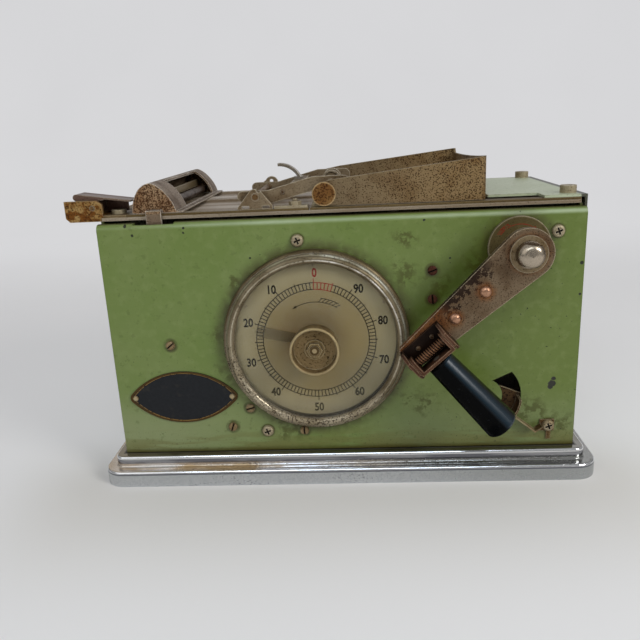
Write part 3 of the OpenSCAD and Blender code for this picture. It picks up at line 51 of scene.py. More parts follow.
class Wire:
    """One output of a material's nodes. Arithmetic on wires adds Math nodes to the material."""

    def __init__(self, tree, socket=None):
        self.tree = tree
        self.socket = socket

    def make(self, kind, settings=None, inputs=None, output=0):
        """Adds a node: first its settings, then the values or wires of its sockets."""
        node = self.tree.nodes.new(kind)
        for name, value in (settings or {}).items():
            setattr(node, name, value)
        for name, value in (inputs or {}).items():
            if isinstance(value, Wire):
                self.tree.links.new(value.socket, node.inputs[name])
            else:
                node.inputs[name].default_value = value
        return Wire(self.tree, node.outputs[output])

    def math(self, operation, first, second):
        return self.make("ShaderNodeMath", {"operation": operation}, {0: first, 1: second})

    def vector(self, operation, other, output=0):
        return self.make("ShaderNodeVectorMath", {"operation": operation}, {0: self, 1: other}, output)

    def __add__(self, other):
        return self.math("ADD", self, other)

    def __radd__(self, other):
        return self.math("ADD", other, self)

    def __sub__(self, other):
        return self.math("SUBTRACT", self, other)

    def __rsub__(self, other):
        return self.math("SUBTRACT", other, self)

    def __mul__(self, other):
        return self.math("MULTIPLY", self, other)

    def __rmul__(self, other):
        return self.math("MULTIPLY", other, self)

    def __or__(self, other):
        return self.math("MAXIMUM", self, other)

    def __abs__(self):
        return self.math("ABSOLUTE", self, 0.0)


def tone(red, green, blue):
    """A colour as read off a screen, 0 to 255, in the linear light that the shaders work in."""
    return tuple((c / 255) ** 2.2 for c in (red, green, blue)) + (1.0,)


def start_finish(name):
    """A new material, its shader, and a wire that carries the place on the piece in metres."""
    finish = bpy.data.materials.new(name)
    finish.use_nodes = True
    shader = finish.node_tree.nodes["Principled BSDF"]
    place = Wire(finish.node_tree).make("ShaderNodeTexCoord", output="Object")
    return finish, shader, place


def clouds(place, scale, detail=3.0, stretch=None):
    """Cloudy pattern from 0 to 1, with so many clouds to the metre, drawn out where stretch is small."""
    if stretch:
        place = place.make("ShaderNodeMapping", None, {"Vector": place, "Scale": stretch})
    return place.make("ShaderNodeTexNoise", None,
                      {"Vector": place, "Scale": scale, "Detail": detail}, "Fac")


def rise(wire, low, high):
    """0 up to low and 1 from high on; the other way round where low is the larger."""
    return wire.make("ShaderNodeMapRange", {"interpolation_type": "SMOOTHSTEP"},
                     {"Value": wire, "From Min": low, "From Max": high})


def band(wire, start, full, full_end, end):
    """1 from full to full_end, falling to 0 at start and at end."""
    return rise(wire, start, full) * rise(wire, end, full_end)


def blend(mask, under, over):
    """The colour under where the mask is 0, and the colour over where it is 1."""
    return mask.make("ShaderNodeMix", {"data_type": "RGBA"}, {0: mask, 6: under, 7: over}, 2)


def axis(place, name):
    return place.make("ShaderNodeSeparateXYZ", None, {0: place}, name)


def edges(place, radius):
    """1 on the edges of a piece, 0 on its faces."""
    rounded = place.make("ShaderNodeBevel", {"samples": 4}, {"Radius": radius})
    flat = place.make("ShaderNodeNewGeometry", output="Normal")
    return rise(rounded.vector("DOT_PRODUCT", flat, "Value"), 0.995, 0.88)


def hollows(place, reach, open_share=0.80, shut_share=0.42):
    """1 in the slots and inner corners of a piece, where dirt stays and shade is painted, 0 on its open
    faces.
    """
    clear = place.make("ShaderNodeAmbientOcclusion", {"samples": 6, "only_local": True},
                       {"Distance": reach}, "AO")
    return rise(clear, open_share, shut_share)


def fill(shader, values, relief=None, depth=0.0001, rounding=0.0003):
    """Sets or links the shader's sockets; relief is bumped up by depth, with rounded edges."""
    tree = shader.id_data
    for name, value in values.items():
        if isinstance(value, Wire):
            tree.links.new(value.socket, shader.inputs[name])
        else:
            shader.inputs[name].default_value = value
    if relief:
        rounded = relief.make("ShaderNodeBevel", {"samples": 4}, {"Radius": rounding})
        normal = relief.make("ShaderNodeBump", None,
                             {"Height": relief, "Distance": depth, "Normal": rounded})
        tree.links.new(normal.socket, shader.inputs["Normal"])


def dress(finish, *nodes):
    """Gives CAD pieces this finish."""
    for node in nodes:
        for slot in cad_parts[node].material_slots:
            slot.material = finish


panel_half_x, panel_half_y = 0.150, 0.075
base_top = 0.0186
riser_top = 0.0164
cove_floor, cove_top = 0.0109, 0.0132
foot_top = 0.0093
groove_low, groove_high = 0.0083, 0.0094
tan_end = -0.04

base_plating, shader, place = start_finish("base_plating")
across, depth_in, height = axis(place, "X"), axis(place, "Y"), axis(place, "Z")
outside = (abs(across) - panel_half_x) | (abs(depth_in) - panel_half_y)
haze = clouds(place, 30, 4, (0.35, 0.35, 1.0))
grain = clouds(place, 1250, 2)
streaks = clouds(place, 500, 3, (0.06, 0.06, 1.0))
on_foot = rise(height, foot_top, foot_top - 0.0008)
in_cove = band(height, cove_floor - 0.0006, cove_floor - 0.0001, cove_top - 0.001, cove_top + 0.002)
on_top = rise(height, base_top - 0.0005, base_top - 0.0001)
pits = rise(grain, 0.61, 0.66) * (on_foot * rise(haze, 0.40, 0.62) * rise(across, 0.14, -0.06)
                                  | in_cove * rise(haze, 0.40, 0.55))
on_riser = band(height, cove_top - 0.0002, cove_top + 0.0004, riser_top - 0.0004, riser_top + 0.0004)
in_groove = band(height, groove_low - 0.0003, groove_low + 0.0003, groove_high - 0.0003, groove_high + 0.0003)
tanned = in_cove * rise(streaks + 0.6 * haze, 0.62, 0.92) * rise(across, 0.07, -0.05)
tanned = tanned | (in_cove | on_top) * rise(across, tan_end + 0.02, tan_end - 0.08) * rise(haze, 0.2, 0.6)
# Painted shadow: a dark band on the top of the base along the foot of the panel.
panel_foot_shadow = on_top * rise(outside, 0.0026, 0.0006)
colour = blend(haze, tone(226, 228, 231), tone(240, 240, 240))
colour = blend(on_foot * (0.5 + 0.4 * rise(grain, 0.35, 0.65)), colour, tone(184, 188, 192))
colour = blend(on_foot * rise(across, 0.02, 0.13) * 0.6, colour, tone(158, 161, 160))
colour = blend(in_cove * rise(across, -0.04, 0.06) * 0.75, colour, tone(128, 128, 122))
colour = blend(tanned * 0.92, colour, tone(164, 134, 84))
# Painted reflections: the flat top, the riser and the groove under the bead are painted in dark bands.
colour = blend(on_top * (0.7 + 0.25 * rise(streaks, 0.4, 0.7)), colour, tone(92, 84, 60))
colour = blend(on_riser * (0.70 + 0.25 * rise(streaks, 0.40, 0.60)), colour, tone(112, 112, 120))
colour = blend(in_groove * 0.85, colour, tone(92, 94, 106))
# The painted shadow along the foot of the panel.
colour = blend(panel_foot_shadow, colour, tone(30, 24, 12))
colour = blend(pits, colour, tone(86, 80, 70))
fill(shader, {"Base Color": colour, "Metallic": 1.0 - 0.35 * tanned - 0.6 * panel_foot_shadow,
              "Roughness": 0.07 + 0.07 * haze + 0.16 * on_foot + 0.2 * tanned + 0.3 * pits + 0.3 * panel_foot_shadow},
     0.0 - pits, 0.00012, 0.0005)
dress(base_plating, "base_moulding")

bottom_steel, shader, place = start_finish("bottom_steel")
stain = clouds(place, 60, 4)
scratches = rise(clouds(place, 700, 3, (0.05, 1.0, 1.0)), 0.58, 0.7)
colour = blend(stain, tone(52, 46, 41), tone(92, 78, 62))
colour = blend(scratches * 0.5, colour, tone(120, 108, 92))
fill(shader, {"Base Color": colour, "Metallic": 0.5, "Roughness": 0.45 + 0.3 * stain}, stain - scratches)
dress(bottom_steel, "bottom_plate")


# Case: sheet steel panels bent over at the top and sprayed with sage green enamel. Years of handling
# have left dirt round every screw and ring, dark chips down to the primer, and yellowed patches.
# Painted light and shade lie on it too: a shadow beside the crank arm, shade under the deck, a sheen
# along the top bend, and lighter and darker parts of the front.

panel_face = -0.075
panel_foot = 0.0190
panel_bend = 0.1726
panel_top = 0.1746
dial_centre = (-0.0162, 0.0, 0.09566)
bezel_radius = 0.0596
crank_centre = (0.110, 0.0, 0.1518)
flange_radius = 0.019
screw_ring, screw_dirt = 0.0040, 0.0056
screw_spots = [
    (-0.025, 0.1607), (0.133, 0.1607), (-0.0515, 0.0331), (0.133, 0.0331), (0.0578, 0.1389),
    (0.0578, 0.1206), (-0.1114, 0.0949), (-0.0622, 0.0498), (-0.0750, 0.0364), (-0.0269, 0.0328)]
yellowed_spots = [
    (0.0405, 0.1372, 0.013), (0.0411, 0.1597, 0.009), (0.0600, 0.1290, 0.012), (0.0900, 0.1400, 0.020),
    (0.1413, 0.0330, 0.014), (0.1215, 0.0440, 0.013), (0.1270, 0.0400, 0.009), (-0.0669, 0.1365, 0.006),
    (-0.0770, 0.1011, 0.010), (-0.0379, 0.0373, 0.016), (0.0532, 0.0509, 0.012), (0.0421, 0.0526, 0.007),
    (-0.0700, 0.0750, 0.014)]
dark_chips = [
    (-0.1277, 0.1673, 0.0013), (-0.0952, 0.1710, 0.0009), (-0.0955, 0.1680, 0.0008), (0.1484, 0.1403, 0.0013),
    (0.1484, 0.1208, 0.0010), (0.0527, 0.1702, 0.0009), (-0.0550, 0.1508, 0.0008), (0.0685, 0.1463, 0.0008),
    (-0.1320, 0.1735, 0.0011)]
grey_chip = [(0.1344, 0.0621, 0.0026), (0.1352, 0.0652, 0.0017), (0.1334, 0.0596, 0.0018)]
arm_lean = math.radians(42)
arm_along = (-math.cos(arm_lean), 0, -math.sin(arm_lean))
arm_side = (math.sin(arm_lean), 0, -math.cos(arm_lean))
arm_shade_start = (crank_centre[0] - 0.004, 0, crank_centre[2] + 0.004)
arm_shade_edge, arm_shade_width = -0.0125, 0.017


def gap_to(place, spot):
    """Distance of a place from a spot."""
    return place.vector("DISTANCE", spot, "Value")


def flat_to_front(place):
    """The place with its depth left out, so that a spot on the front is given by x and z alone."""
    return place.vector("MULTIPLY", (1, 0, 1))


def along_way(place, start, way):
    """How far a place lies from the start in this direction."""
    return place.vector("SUBTRACT", start).vector("DOT_PRODUCT", way, "Value")


def blots(front, spots, ragged, soft):
    """1 in ragged spots given by x, z and radius, fading out over the soft share of the radius."""
    mask = 0.0 * ragged
    for x, z, radius in spots:
        mask = mask | rise(gap_to(front, (x, 0, z)) + radius * ragged, radius, (1 - soft) * radius)
    return mask


green_enamel, shader, place = start_finish("green_enamel")
front = flat_to_front(place)
across, depth_in, height = axis(place, "X"), axis(place, "Y"), axis(place, "Z")
cloud = clouds(place, 14, 4)
mottle = clouds(place, 160, 4)
ragged = 1.8 * (clouds(place, 420, 3) - 0.5)
patchy = 1.6 * (clouds(place, 130, 4) - 0.5)
lying = clouds(place, 260, 3, (0.12, 1.0, 1.0))
on_front = rise(depth_in, panel_face + 0.004, panel_face + 0.002)
dirt = rise(gap_to(front, dial_centre), bezel_radius + 0.009, bezel_radius)
dirt = dirt | rise(gap_to(front, crank_centre), flange_radius + 0.008, flange_radius)
for x, z in screw_spots:
    dirt = dirt | rise(gap_to(front, (x, 0, z)), screw_dirt, screw_ring)
dirt = dirt * on_front
yellowed = blots(front, yellowed_spots, patchy, 0.8) * on_front
# Painted shadow with some dirt: a darker band beside the upper left edge of the crank arm as it stands at
# rest; it stays when the crank turns.
beyond_arm = along_way(front, arm_shade_start, arm_side)
arm_shadow_and_dirt = rise(beyond_arm + 0.006 * patchy, arm_shade_edge - arm_shade_width, arm_shade_edge)
arm_shadow_and_dirt = arm_shadow_and_dirt * rise(beyond_arm, 0.004, -0.004)
beside_arm = along_way(front, arm_shade_start, arm_along)
arm_shadow_and_dirt = arm_shadow_and_dirt * band(beside_arm, -0.008, 0.010, 0.075, 0.092)
smudge = 0.75 * clouds(place, 230, 5) + 0.25 * clouds(place, 900, 2)
chipped = blots(front, dark_chips, ragged, 0.3) * on_front
bared = blots(front, grey_chip, 0.7 * ragged, 0.25)
chip_field = clouds(place, 520, 2)
chip_room = 0.035 * rise(across, 0.02, 0.15) + 0.05 * rise(cloud, 0.5, 0.7) + 0.05 * dirt
chipped = chipped | rise(chip_field + chip_room, 0.745, 0.775)
low_band = rise(height, panel_foot + 0.021, panel_foot)
worn = edges(place, 0.0008)
colour = blend(rise(cloud, 0.3, 0.7), tone(98, 117, 53), tone(108, 123, 66))
# Painted light and shade: the front is darker towards the right, and lighter low on the left and low on the
# right.
colour = blend(on_front * rise(across, -0.02, 0.12) * 0.8, colour, tone(91, 106, 42))
colour = blend(rise(mottle, 0.45, 0.75) * 0.3, colour, tone(126, 139, 84))
colour = blend(rise(height, 0.075, 0.030) * rise(across, 0.0, -0.13) * 0.75, colour, tone(132, 140, 100))
colour = blend(rise(height, 0.065, 0.030) * rise(across, 0.0, 0.05) * 0.5, colour, tone(118, 129, 88))
colour = blend(low_band * rise(lying, 0.40, 0.60) * 0.65, colour, tone(100, 95, 44))
# The painted shadow and dirt beside the crank arm.
colour = blend(arm_shadow_and_dirt * on_front * 0.5, colour, tone(66, 76, 26))
colour = blend(yellowed * rise(smudge, 0.44, 0.55) * 0.76, colour, tone(66, 68, 2))
colour = blend(on_front * rise(smudge, 0.58, 0.66) * 0.35, colour, tone(76, 88, 36))
flecks = rise(clouds(place, 1100, 2) + 0.05 * (yellowed | dirt | low_band), 0.70, 0.74)
colour = blend(flecks * 0.6, colour, tone(60, 66, 26))
colour = blend(dirt * rise(mottle, 0.2, 0.6) * 0.85, colour, tone(70, 70, 28))
colour = blend(rise(height, panel_foot + 0.0035, panel_foot) * 0.75, colour, tone(74, 66, 26))
# Dirt and painted shade: the flange at the top, under the edge of the deck, is painted dark.
colour = blend(rise(height, panel_top - 0.0005, panel_top - 0.0001) * 0.8, colour, tone(56, 50, 22))
# Painted highlight: a paler sheen along the bend at the top of the front.
sheen_streaks = rise(clouds(place, 90, 4, (0.2, 1.0, 1.0)), 0.35, 0.6)
bend_sheen = band(height, panel_bend - 0.0024, panel_bend, panel_bend + 0.0002, panel_bend + 0.0016)
bend_sheen = bend_sheen * rise(across, -0.135, -0.05) * (0.55 + 0.45 * sheen_streaks)
colour = blend(on_front * bend_sheen * 0.8, colour, tone(160, 174, 136))
colour = blend(worn * rise(mottle, 0.47, 0.62) * 0.8, colour, tone(50, 48, 34))
colour = blend(chipped * 0.92, colour, tone(20, 18, 8))
colour = blend(bared * on_front, colour, blend(mottle, tone(24, 24, 17), tone(52, 52, 40)))
fill(shader, {"Base Color": colour, "Roughness": 0.32 + 0.16 * mottle + 0.3 * chipped + 0.2 * bared,
              "Specular IOR Level": 0.45, "Coat Weight": 0.12, "Coat Roughness": 0.2},
     mottle * 0.35 - chipped - bared, 0.00014, 0.0006)
dress(green_enamel, "front_panel", "rear_panel", "side_panels")

cover_end = 0.1486
cover_enamel, shader, place = start_finish("cover_enamel")
cloud = clouds(place, 40, 4)
mottle = clouds(place, 320, 4)
chipped = rise(clouds(place, 620, 2), 0.70, 0.74)
worn = edges(place, 0.0007)
colour = blend(cloud, tone(164, 173, 138), tone(180, 186, 160))
colour = blend(rise(mottle, 0.5, 0.7) * 0.35, colour, tone(142, 147, 110))
colour = blend(worn * rise(mottle, 0.42, 0.6) * 0.8, colour, tone(86, 76, 50))
colour = blend(chipped * 0.7, colour, tone(84, 74, 48))
colour = blend(rise(axis(place, "X"), cover_end - 0.0014, cover_end) * 0.9, colour, tone(40, 35, 22))
fill(shader, {"Base Color": colour, "Roughness": 0.34 + 0.2 * mottle + 0.2 * chipped,
              "Specular IOR Level": 0.45, "Coat Weight": 0.1, "Coat Roughness": 0.25},
     mottle * 0.4 - chipped, 0.00012, 0.0004)
dress(cover_enamel, "top_cover")


# Works inside the closed case: a steel frame and shafts, brass wheels and a rubber feed roller that
# rises through the slot in the deck. Only the top of the roller shows.

def age(shader, place, clean, brown, dark, specks=0.5, stain=0.5, grain=1000, roughness=0.40, metallic=0.45,
        streak=None, rubbed=tone(186, 174, 150), rub=0.7, hollow_reach=0.0025, open_share=0.80,
        shut_share=0.42):
    """Old plating: clean metal clouded with brown, dark specks where it has lifted, rubbed edges, and dirt
    with painted shade in its hollows.
    """
    cloud = clouds(place, 60, 4, streak)
    fine = clouds(place, grain, 2)
    level = 0.72 - 0.2 * specks
    speckled = rise(fine + 0.14 * cloud - 0.07, level - 0.035, level + 0.035)
    stained = rise(cloud, 0.58 - 0.36 * stain, 0.78 - 0.36 * stain)
    dirt_and_shade = hollows(place, hollow_reach, open_share, shut_share)
    worn = edges(place, 0.0010) * rise(fine, 0.30, 0.50)
    colour = blend(rise(fine, 0.36, 0.64) * 0.35, clean, brown)
    colour = blend(stained * 0.75, colour, brown)
    colour = blend(speckled * 0.88, colour, dark)
    colour = blend(worn * rub, colour, rubbed)
    # Dirt and painted shade in the hollows.
    colour = blend(dirt_and_shade * 0.8, colour, dark)
    fill(shader, {"Base Color": colour, "Metallic": metallic, "Specular IOR Level": 0.15,
                  "Roughness": roughness + 0.12 * stained + 0.2 * speckled - 0.1 * worn},
         fine * 0.3 - speckled, 0.00012)


def old_metal(name, *tones, **wear):
    """A finish of old plating for pieces that are worn alike all over."""
    finish, shader, place = start_finish(name)
    age(shader, place, *tones, **wear)
    return finish


works_steel = old_metal("works_steel", tone(150, 144, 134), tone(104, 86, 64), tone(58, 46, 36), metallic=0.7)
dress(works_steel, "inner_frame", "crank_pinion", "transfer_gear", "feed_gear", "idler_pinion", "crank_shaft",
      "grip_spindle")

wheel_brass, shader, place = start_finish("wheel_brass")
tarnish = clouds(place, 70, 4)
nicks = rise(clouds(place, 800, 2), 0.62, 0.7)
colour = blend(nicks * 0.5, blend(tarnish, tone(196, 162, 96), tone(128, 96, 56)), tone(90, 66, 38))
fill(shader, {"Base Color": colour, "Metallic": 0.9, "Roughness": 0.25 + 0.3 * tarnish}, tarnish - nicks)
dress(wheel_brass, "counter_wheel", "idler_wheel")

roller_rubber, shader, place = start_finish("roller_rubber")
grain = clouds(place, 900, 3)
dust = clouds(place, 90, 4)
colour = blend(dust * 0.5, blend(grain, tone(30, 28, 26), tone(58, 54, 50)), tone(96, 88, 76))
fill(shader, {"Base Color": colour, "Roughness": 0.65 + 0.2 * grain}, grain, 0.0002)
dress(roller_rubber, "feed_roller")


# Deck and rails: nickel-plated steel strips riveted to the top plate. Tickets have polished streaks
# along the track, and the plating between them has gone brown.

deck_nickel = old_metal("deck_nickel", tone(178, 164, 144), tone(128, 109, 87), tone(66, 51, 36), specks=0.25,
                        stain=0.6, streak=(0.12, 1.0, 1.0), roughness=0.36, metallic=0.5)
dress(deck_nickel, "deck_plate", "rear_rails")

rail_nickel = old_metal("rail_nickel", tone(118, 101, 70), tone(84, 67, 42), tone(46, 34, 20), specks=0.35,
                        stain=0.6, streak=(0.10, 1.0, 1.0), rubbed=tone(150, 134, 104), rub=0.5)
dress(rail_nickel, "front_rails")

stud_nickel = old_metal("stud_nickel", tone(166, 154, 126), tone(132, 114, 84), tone(70, 54, 34), specks=0.3,
                        stain=0.35, grain=1200, metallic=0.4)
dress(stud_nickel, "deck_studs", "hopper_lugs", "lever_pivot", "gauge_plate")


# Exit end: a bracket with two ears hooked over the left end of the deck, a pin through them, and a
# tipping flap of thick steel. The ears are orange with rust, the flap a purplish brown.

ear_end = -0.1462
ear_rust, shader, place = start_finish("ear_rust")
on_ear = rise(axis(place, "X"), ear_end, ear_end - 0.001)
blotch = rise(clouds(place, 330, 5), 0.44, 0.58)
age(shader, place, blend(on_ear, tone(116, 98, 72), blend(blotch, tone(158, 128, 80), tone(112, 70, 28))),
    blend(on_ear, tone(86, 68, 46), blend(blotch, tone(134, 96, 48), tone(92, 54, 20))),
    blend(on_ear, tone(46, 34, 22), tone(54, 32, 14)), specks=0.35 + 0.35 * on_ear, grain=1300, roughness=0.5,
    metallic=0.2, rubbed=tone(176, 158, 122))
dress(ear_rust, "exit_bracket")

pin_steel = old_metal("pin_steel", tone(116, 92, 62), tone(84, 56, 30), tone(40, 26, 14))
dress(pin_steel, "exit_pin", "presser_pin")

flap_steel = old_metal("flap_steel", tone(114, 92, 80), tone(90, 66, 56), tone(54, 38, 32), specks=0.25,
                       streak=(0.15, 1.0, 1.0), grain=1300, roughness=0.34)
dress(flap_steel, "exit_flap")


# Hood: a long cover with a round left side, plated and now thick with brown specks on its end face,
# with a window in its right slope, a flat bar and a dark roller inside.

hood_foot = 0.1794
hood_nickel, shader, place = start_finish("hood_nickel")
facing = axis(place.make("ShaderNodeTexCoord", output="Normal"), "Y")
end_face = rise(facing, -0.6, -0.85) * rise(axis(place, "Z"), hood_foot, hood_foot + 0.0006)
age(shader, place, blend(end_face, tone(130, 112, 92), tone(164, 136, 104)),
    blend(end_face, tone(94, 76, 60), tone(128, 92, 62)), blend(end_face, tone(56, 42, 32), tone(64, 40, 24)),
    specks=0.5 + 0.6 * end_face, stain=0.45, grain=1350, metallic=0.4, rubbed=tone(224, 214, 196), rub=1.0)
dress(hood_nickel, "hood")

bar_steel = old_metal("bar_steel", tone(128, 112, 84), tone(96, 78, 52), tone(54, 40, 24), specks=0.35,
                      streak=(1.0, 0.15, 1.0))
dress(bar_steel, "hood_bar")

dark_steel = old_metal("dark_steel", tone(78, 64, 52), tone(56, 42, 32), tone(30, 22, 18))
dress(dark_steel, "hood_roller")


# Presser: a frame of two arms and a strap that swings on a pin between two ears, with a bent lift
# finger and two small rollers on an axle, in dull nickel plate. The pin and the rivet are brown steel.

presser_nickel = old_metal("presser_nickel", tone(138, 122, 98), tone(104, 85, 62), tone(54, 40, 25),
                           specks=0.38, grain=1400, rubbed=tone(208, 196, 170), rub=0.9)
dress(presser_nickel, "presser_ears", "presser_frame", "presser_axle", "presser_rollers")

presser_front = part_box("presser_frame")[0][1]
arm_rivet_spot = (-0.0336, 0.18908)
arm_rivet_radius, arm_rivet_high = 0.0014, 0.0006
rivet_steel = old_metal("rivet_steel", tone(86, 64, 44), tone(58, 40, 26), tone(28, 18, 10), grain=1600,
                        metallic=0.4)


def make_object(name, shape, finish):
    """Makes an object of a finished bmesh, with its material."""
    mesh = bpy.data.meshes.new(name)
    shape.to_mesh(mesh)
    shape.free()
    made = bpy.data.objects.new(name, mesh)
    bpy.context.scene.collection.objects.link(made)
    mesh.materials.append(finish)
    return made


def add_piece(name, shape, finish, body):
    """Makes a piece of a finished bmesh, with its material and the body it moves with."""
    piece = make_object(name, shape, finish)
    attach(piece, body)
    return piece


def smooth(shape):
    for face in shape.faces:
        face.smooth = True


def rivet_heads(frames, radius, high):
    """Low round heads on the z axis of each frame, set a little into what they hold."""
    shape = bmesh.new()
    set_in = 0.2 * high
    for frame_at in frames:
        head = bmesh.ops.create_cone(shape, cap_ends=True, segments=20, radius1=radius, radius2=0.92 * radius,
                                     depth=high + set_in)["verts"]
        top = [edge for edge in {edge for vert in head for edge in vert.link_edges}
               if all(vert.co.z > 0 for vert in edge.verts)]
        rounded = bmesh.ops.bevel(shape, geom=top, offset=0.55 * high, offset_type="OFFSET", affect="EDGES",
                                  segments=3, profile=0.5, material=-1)["verts"]
        bmesh.ops.transform(shape, matrix=frame_at @ Matrix.Translation((0, 0, (high - set_in) / 2)),
                            verts=list({vert for vert in head + rounded if vert.is_valid}))
    bmesh.ops.recalc_face_normals(shape, faces=shape.faces)
    smooth(shape)
    return shape


to_viewer = Matrix.Rotation(math.pi / 2, 4, "X")
arm_rivet = Matrix.Translation((arm_rivet_spot[0], presser_front, arm_rivet_spot[1])) @ to_viewer
presser_rivet = rivet_heads([arm_rivet], arm_rivet_radius, arm_rivet_high)
add_piece("presser_rivet", presser_rivet, rivet_steel, "presser")

finger_nickel = old_metal("finger_nickel", tone(150, 142, 130), tone(112, 98, 82), tone(66, 54, 42),
                          specks=0.25, stain=0.4, grain=1300, roughness=0.32, metallic=0.6)
dress(finger_nickel, "lift_finger")


# Hopper: a tray bent from one sheet of plated steel, hung on two large-headed studs. Brown specks are
# dense all over and thickest towards the end wall, and the stud heads are rusty.

hopper_left, hopper_right = -0.0077, 0.0916
scores_start, scores_full = 0.045, 0.075
hopper_nickel, shader, place = start_finish("hopper_nickel")
across = axis(place, "X")
towards_end = rise(across, hopper_left, hopper_right)
scored = rise(clouds(place, 300, 2, (0.05, 0.05, 1.0)), 0.60, 0.66) * rise(across, scores_start, scores_full)
age(shader, place, blend(towards_end, tone(128, 111, 85), tone(144, 120, 84)),
    blend(towards_end, tone(106, 88, 64), tone(120, 92, 56)), tone(56, 37, 22),
    specks=0.52 + 0.34 * towards_end + 0.5 * scored, stain=0.28 + 0.10 * towards_end, grain=1200,
    roughness=0.38, metallic=0.4, rubbed=tone(168, 154, 124))
dress(hopper_nickel, "hopper")

stud_axis = (-0.0077, 0.0, 0.1874)
stud_rim = 0.0064
stud_rust, shader, place = start_finish("stud_rust")
on_rim = rise(gap_to(flat_to_front(place), stud_axis), stud_rim, stud_rim + 0.0003)
age(shader, place, blend(on_rim, tone(132, 100, 60), tone(178, 150, 108)),
    blend(on_rim, tone(106, 70, 34), tone(140, 108, 68)), tone(60, 36, 18), specks=0.8 - 0.4 * on_rim,
    stain=0.55, grain=1300, metallic=0.25, rubbed=tone(190, 166, 124), rub=0.9)
dress(stud_rust, "hopper_studs")


# Dial: a printed cream plate under glass in a spun nickel bezel, read by a brown pointer that is set
# with the knob in front. The print is in black with the last five counts and the 0 in red.

bead_foot = 0.0570
# Radii of the painted highlight rings, and the ways the pitted side and the painted glint lie.
highlight_rings = (0.0568, 0.0538)
pitted_way, glint_way = (-0.35, 0, -0.94), (0.64, 0, 0.77)
bezel_nickel, shader, place = start_finish("bezel_nickel")
front = flat_to_front(place)
rim_gap = gap_to(front, dial_centre)
low_side = rise(along_way(front, dial_centre, pitted_way), 0.006, 0.042)
on_bead = rise(rim_gap, bead_foot + 0.0004, bead_foot - 0.0006)
# Painted highlights: bright lines along two rings of the bezel, near white on its upper right.
ring_highlight = 0.0 * rim_gap
glint_side = rise(along_way(front, dial_centre, glint_way), 0.030, 0.056)
painted_glint = blend(glint_side, tone(180, 170, 148), tone(244, 240, 230))
for ring in highlight_rings:
    ring_highlight = ring_highlight | rise(abs(rim_gap - ring), 0.0006, 0.0002)
clean = blend(ring_highlight, blend(on_bead, tone(104, 91, 68), tone(126, 114, 92)), painted_glint)
brown = blend(ring_highlight, blend(on_bead, tone(80, 68, 47), tone(98, 86, 64)), tone(140, 128, 102))
age(shader, place, blend(low_side, clean, tone(176, 164, 140)), blend(low_side, brown, tone(138, 124, 98)),
    blend(low_side, tone(50, 38, 23), tone(50, 37, 23)), specks=0.42 + 0.42 * low_side, stain=0.45,
    grain=1150, roughness=0.30, metallic=0.5, rubbed=tone(198, 190, 172))
dress(bezel_nickel, "dial_bezel")

inner_zone, outer_zone = 0.030, 0.046
halo_centre = (dial_centre[0] - 0.005, 0, dial_centre[2] + 0.003)
plate_edge = 0.0514
gap_way = (0.5, 0, -0.87)
dial_cream, shader, place = start_finish("dial_cream")
front = flat_to_front(place)
centre_gap = gap_to(front, dial_centre)
halo_gap = gap_to(front, halo_centre)
cloud = clouds(place, 45, 4)
smear = clouds(place, 120, 4, (0.3, 1.0, 1.0))
spots = rise(clouds(place, 480, 3), 0.66, 0.73)
colour = blend(rise(centre_gap, inner_zone, outer_zone), tone(131, 114, 71), tone(149, 137, 101))
# A darker brown halo round the knob, set a little up and to the left: tarnish and painted shade.
colour = blend(rise(halo_gap + 0.014 * cloud, 0.038, 0.014) * 0.80, colour, tone(94, 68, 28))
colour = blend(rise(cloud, 0.4, 0.7) * 0.35, colour, tone(124, 112, 80))
colour = blend(rise(axis(place, "Z"), 0.062, 0.046) * rise(smear, 0.3, 0.6) * 0.6, colour, tone(122, 112, 92))
# Painted shade: the plate is darker towards the bezel, where the rim stands over it.
colour = blend(rise(centre_gap + 0.006 * smear, 0.0530, 0.0565) * 0.7, colour, tone(84, 74, 54))
colour = blend(spots * 0.4, colour, tone(96, 80, 48))
# Painted shadow: a dark line at the plate's edge on the lower right, in the gap at the bezel.
gap_shadow_side = rise(along_way(front, dial_centre, gap_way), 0.005, 0.040)
colour = blend(rise(centre_gap, plate_edge - 0.0007, plate_edge) * gap_shadow_side * 0.9, colour, tone(42, 30, 15))
fill(shader, {"Base Color": colour, "Roughness": 0.5 + 0.2 * cloud}, cloud, 0.00005)
dress(dial_cream, "dial_plate")

glass, shader, place = start_finish("dial_glass")
smear = clouds(place, 40, 4)
fill(shader, {"Base Color": tone(196, 196, 180), "Roughness": 0.05 + 0.1 * smear,
              "Alpha": 0.015 + 0.03 * rise(smear, 0.4, 0.7)})
dress(glass, "dial_glass")

pointer_brown, shader, place = start_finish("pointer_brown")
cloud = clouds(place, 120, 3)
fill(shader, {"Base Color": blend(cloud, tone(74, 60, 34), tone(98, 82, 50)), "Roughness": 0.4 + 0.2 * cloud,
              "Alpha": 0.17 + 0.15 * cloud, "Specular IOR Level": 0.15})
dress(pointer_brown, "dial_hand")

knob_steel, shader, place = start_finish("knob_steel")
rim_gap = gap_to(flat_to_front(place), dial_centre)
knob_low, knob_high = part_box("reset_knob")
knob_radius = (knob_high[0] - knob_low[0]) / 2
on_rim = rise(rim_gap, knob_radius - 0.0016, knob_radius - 0.0012)
on_rim = on_rim * rise(axis(place, "Y"), knob_low[1] + 0.0014, knob_low[1] + 0.0007)
age(shader, place, blend(on_rim, tone(124, 104, 72), tone(168, 150, 112)),
    blend(on_rim, tone(98, 80, 52), tone(140, 120, 84)), tone(46, 34, 18), specks=0.50 - 0.2 * on_rim,
    stain=0.45, grain=900, rubbed=tone(196, 180, 140), rub=0.8)
dress(knob_steel, "reset_knob", "knob_nut")

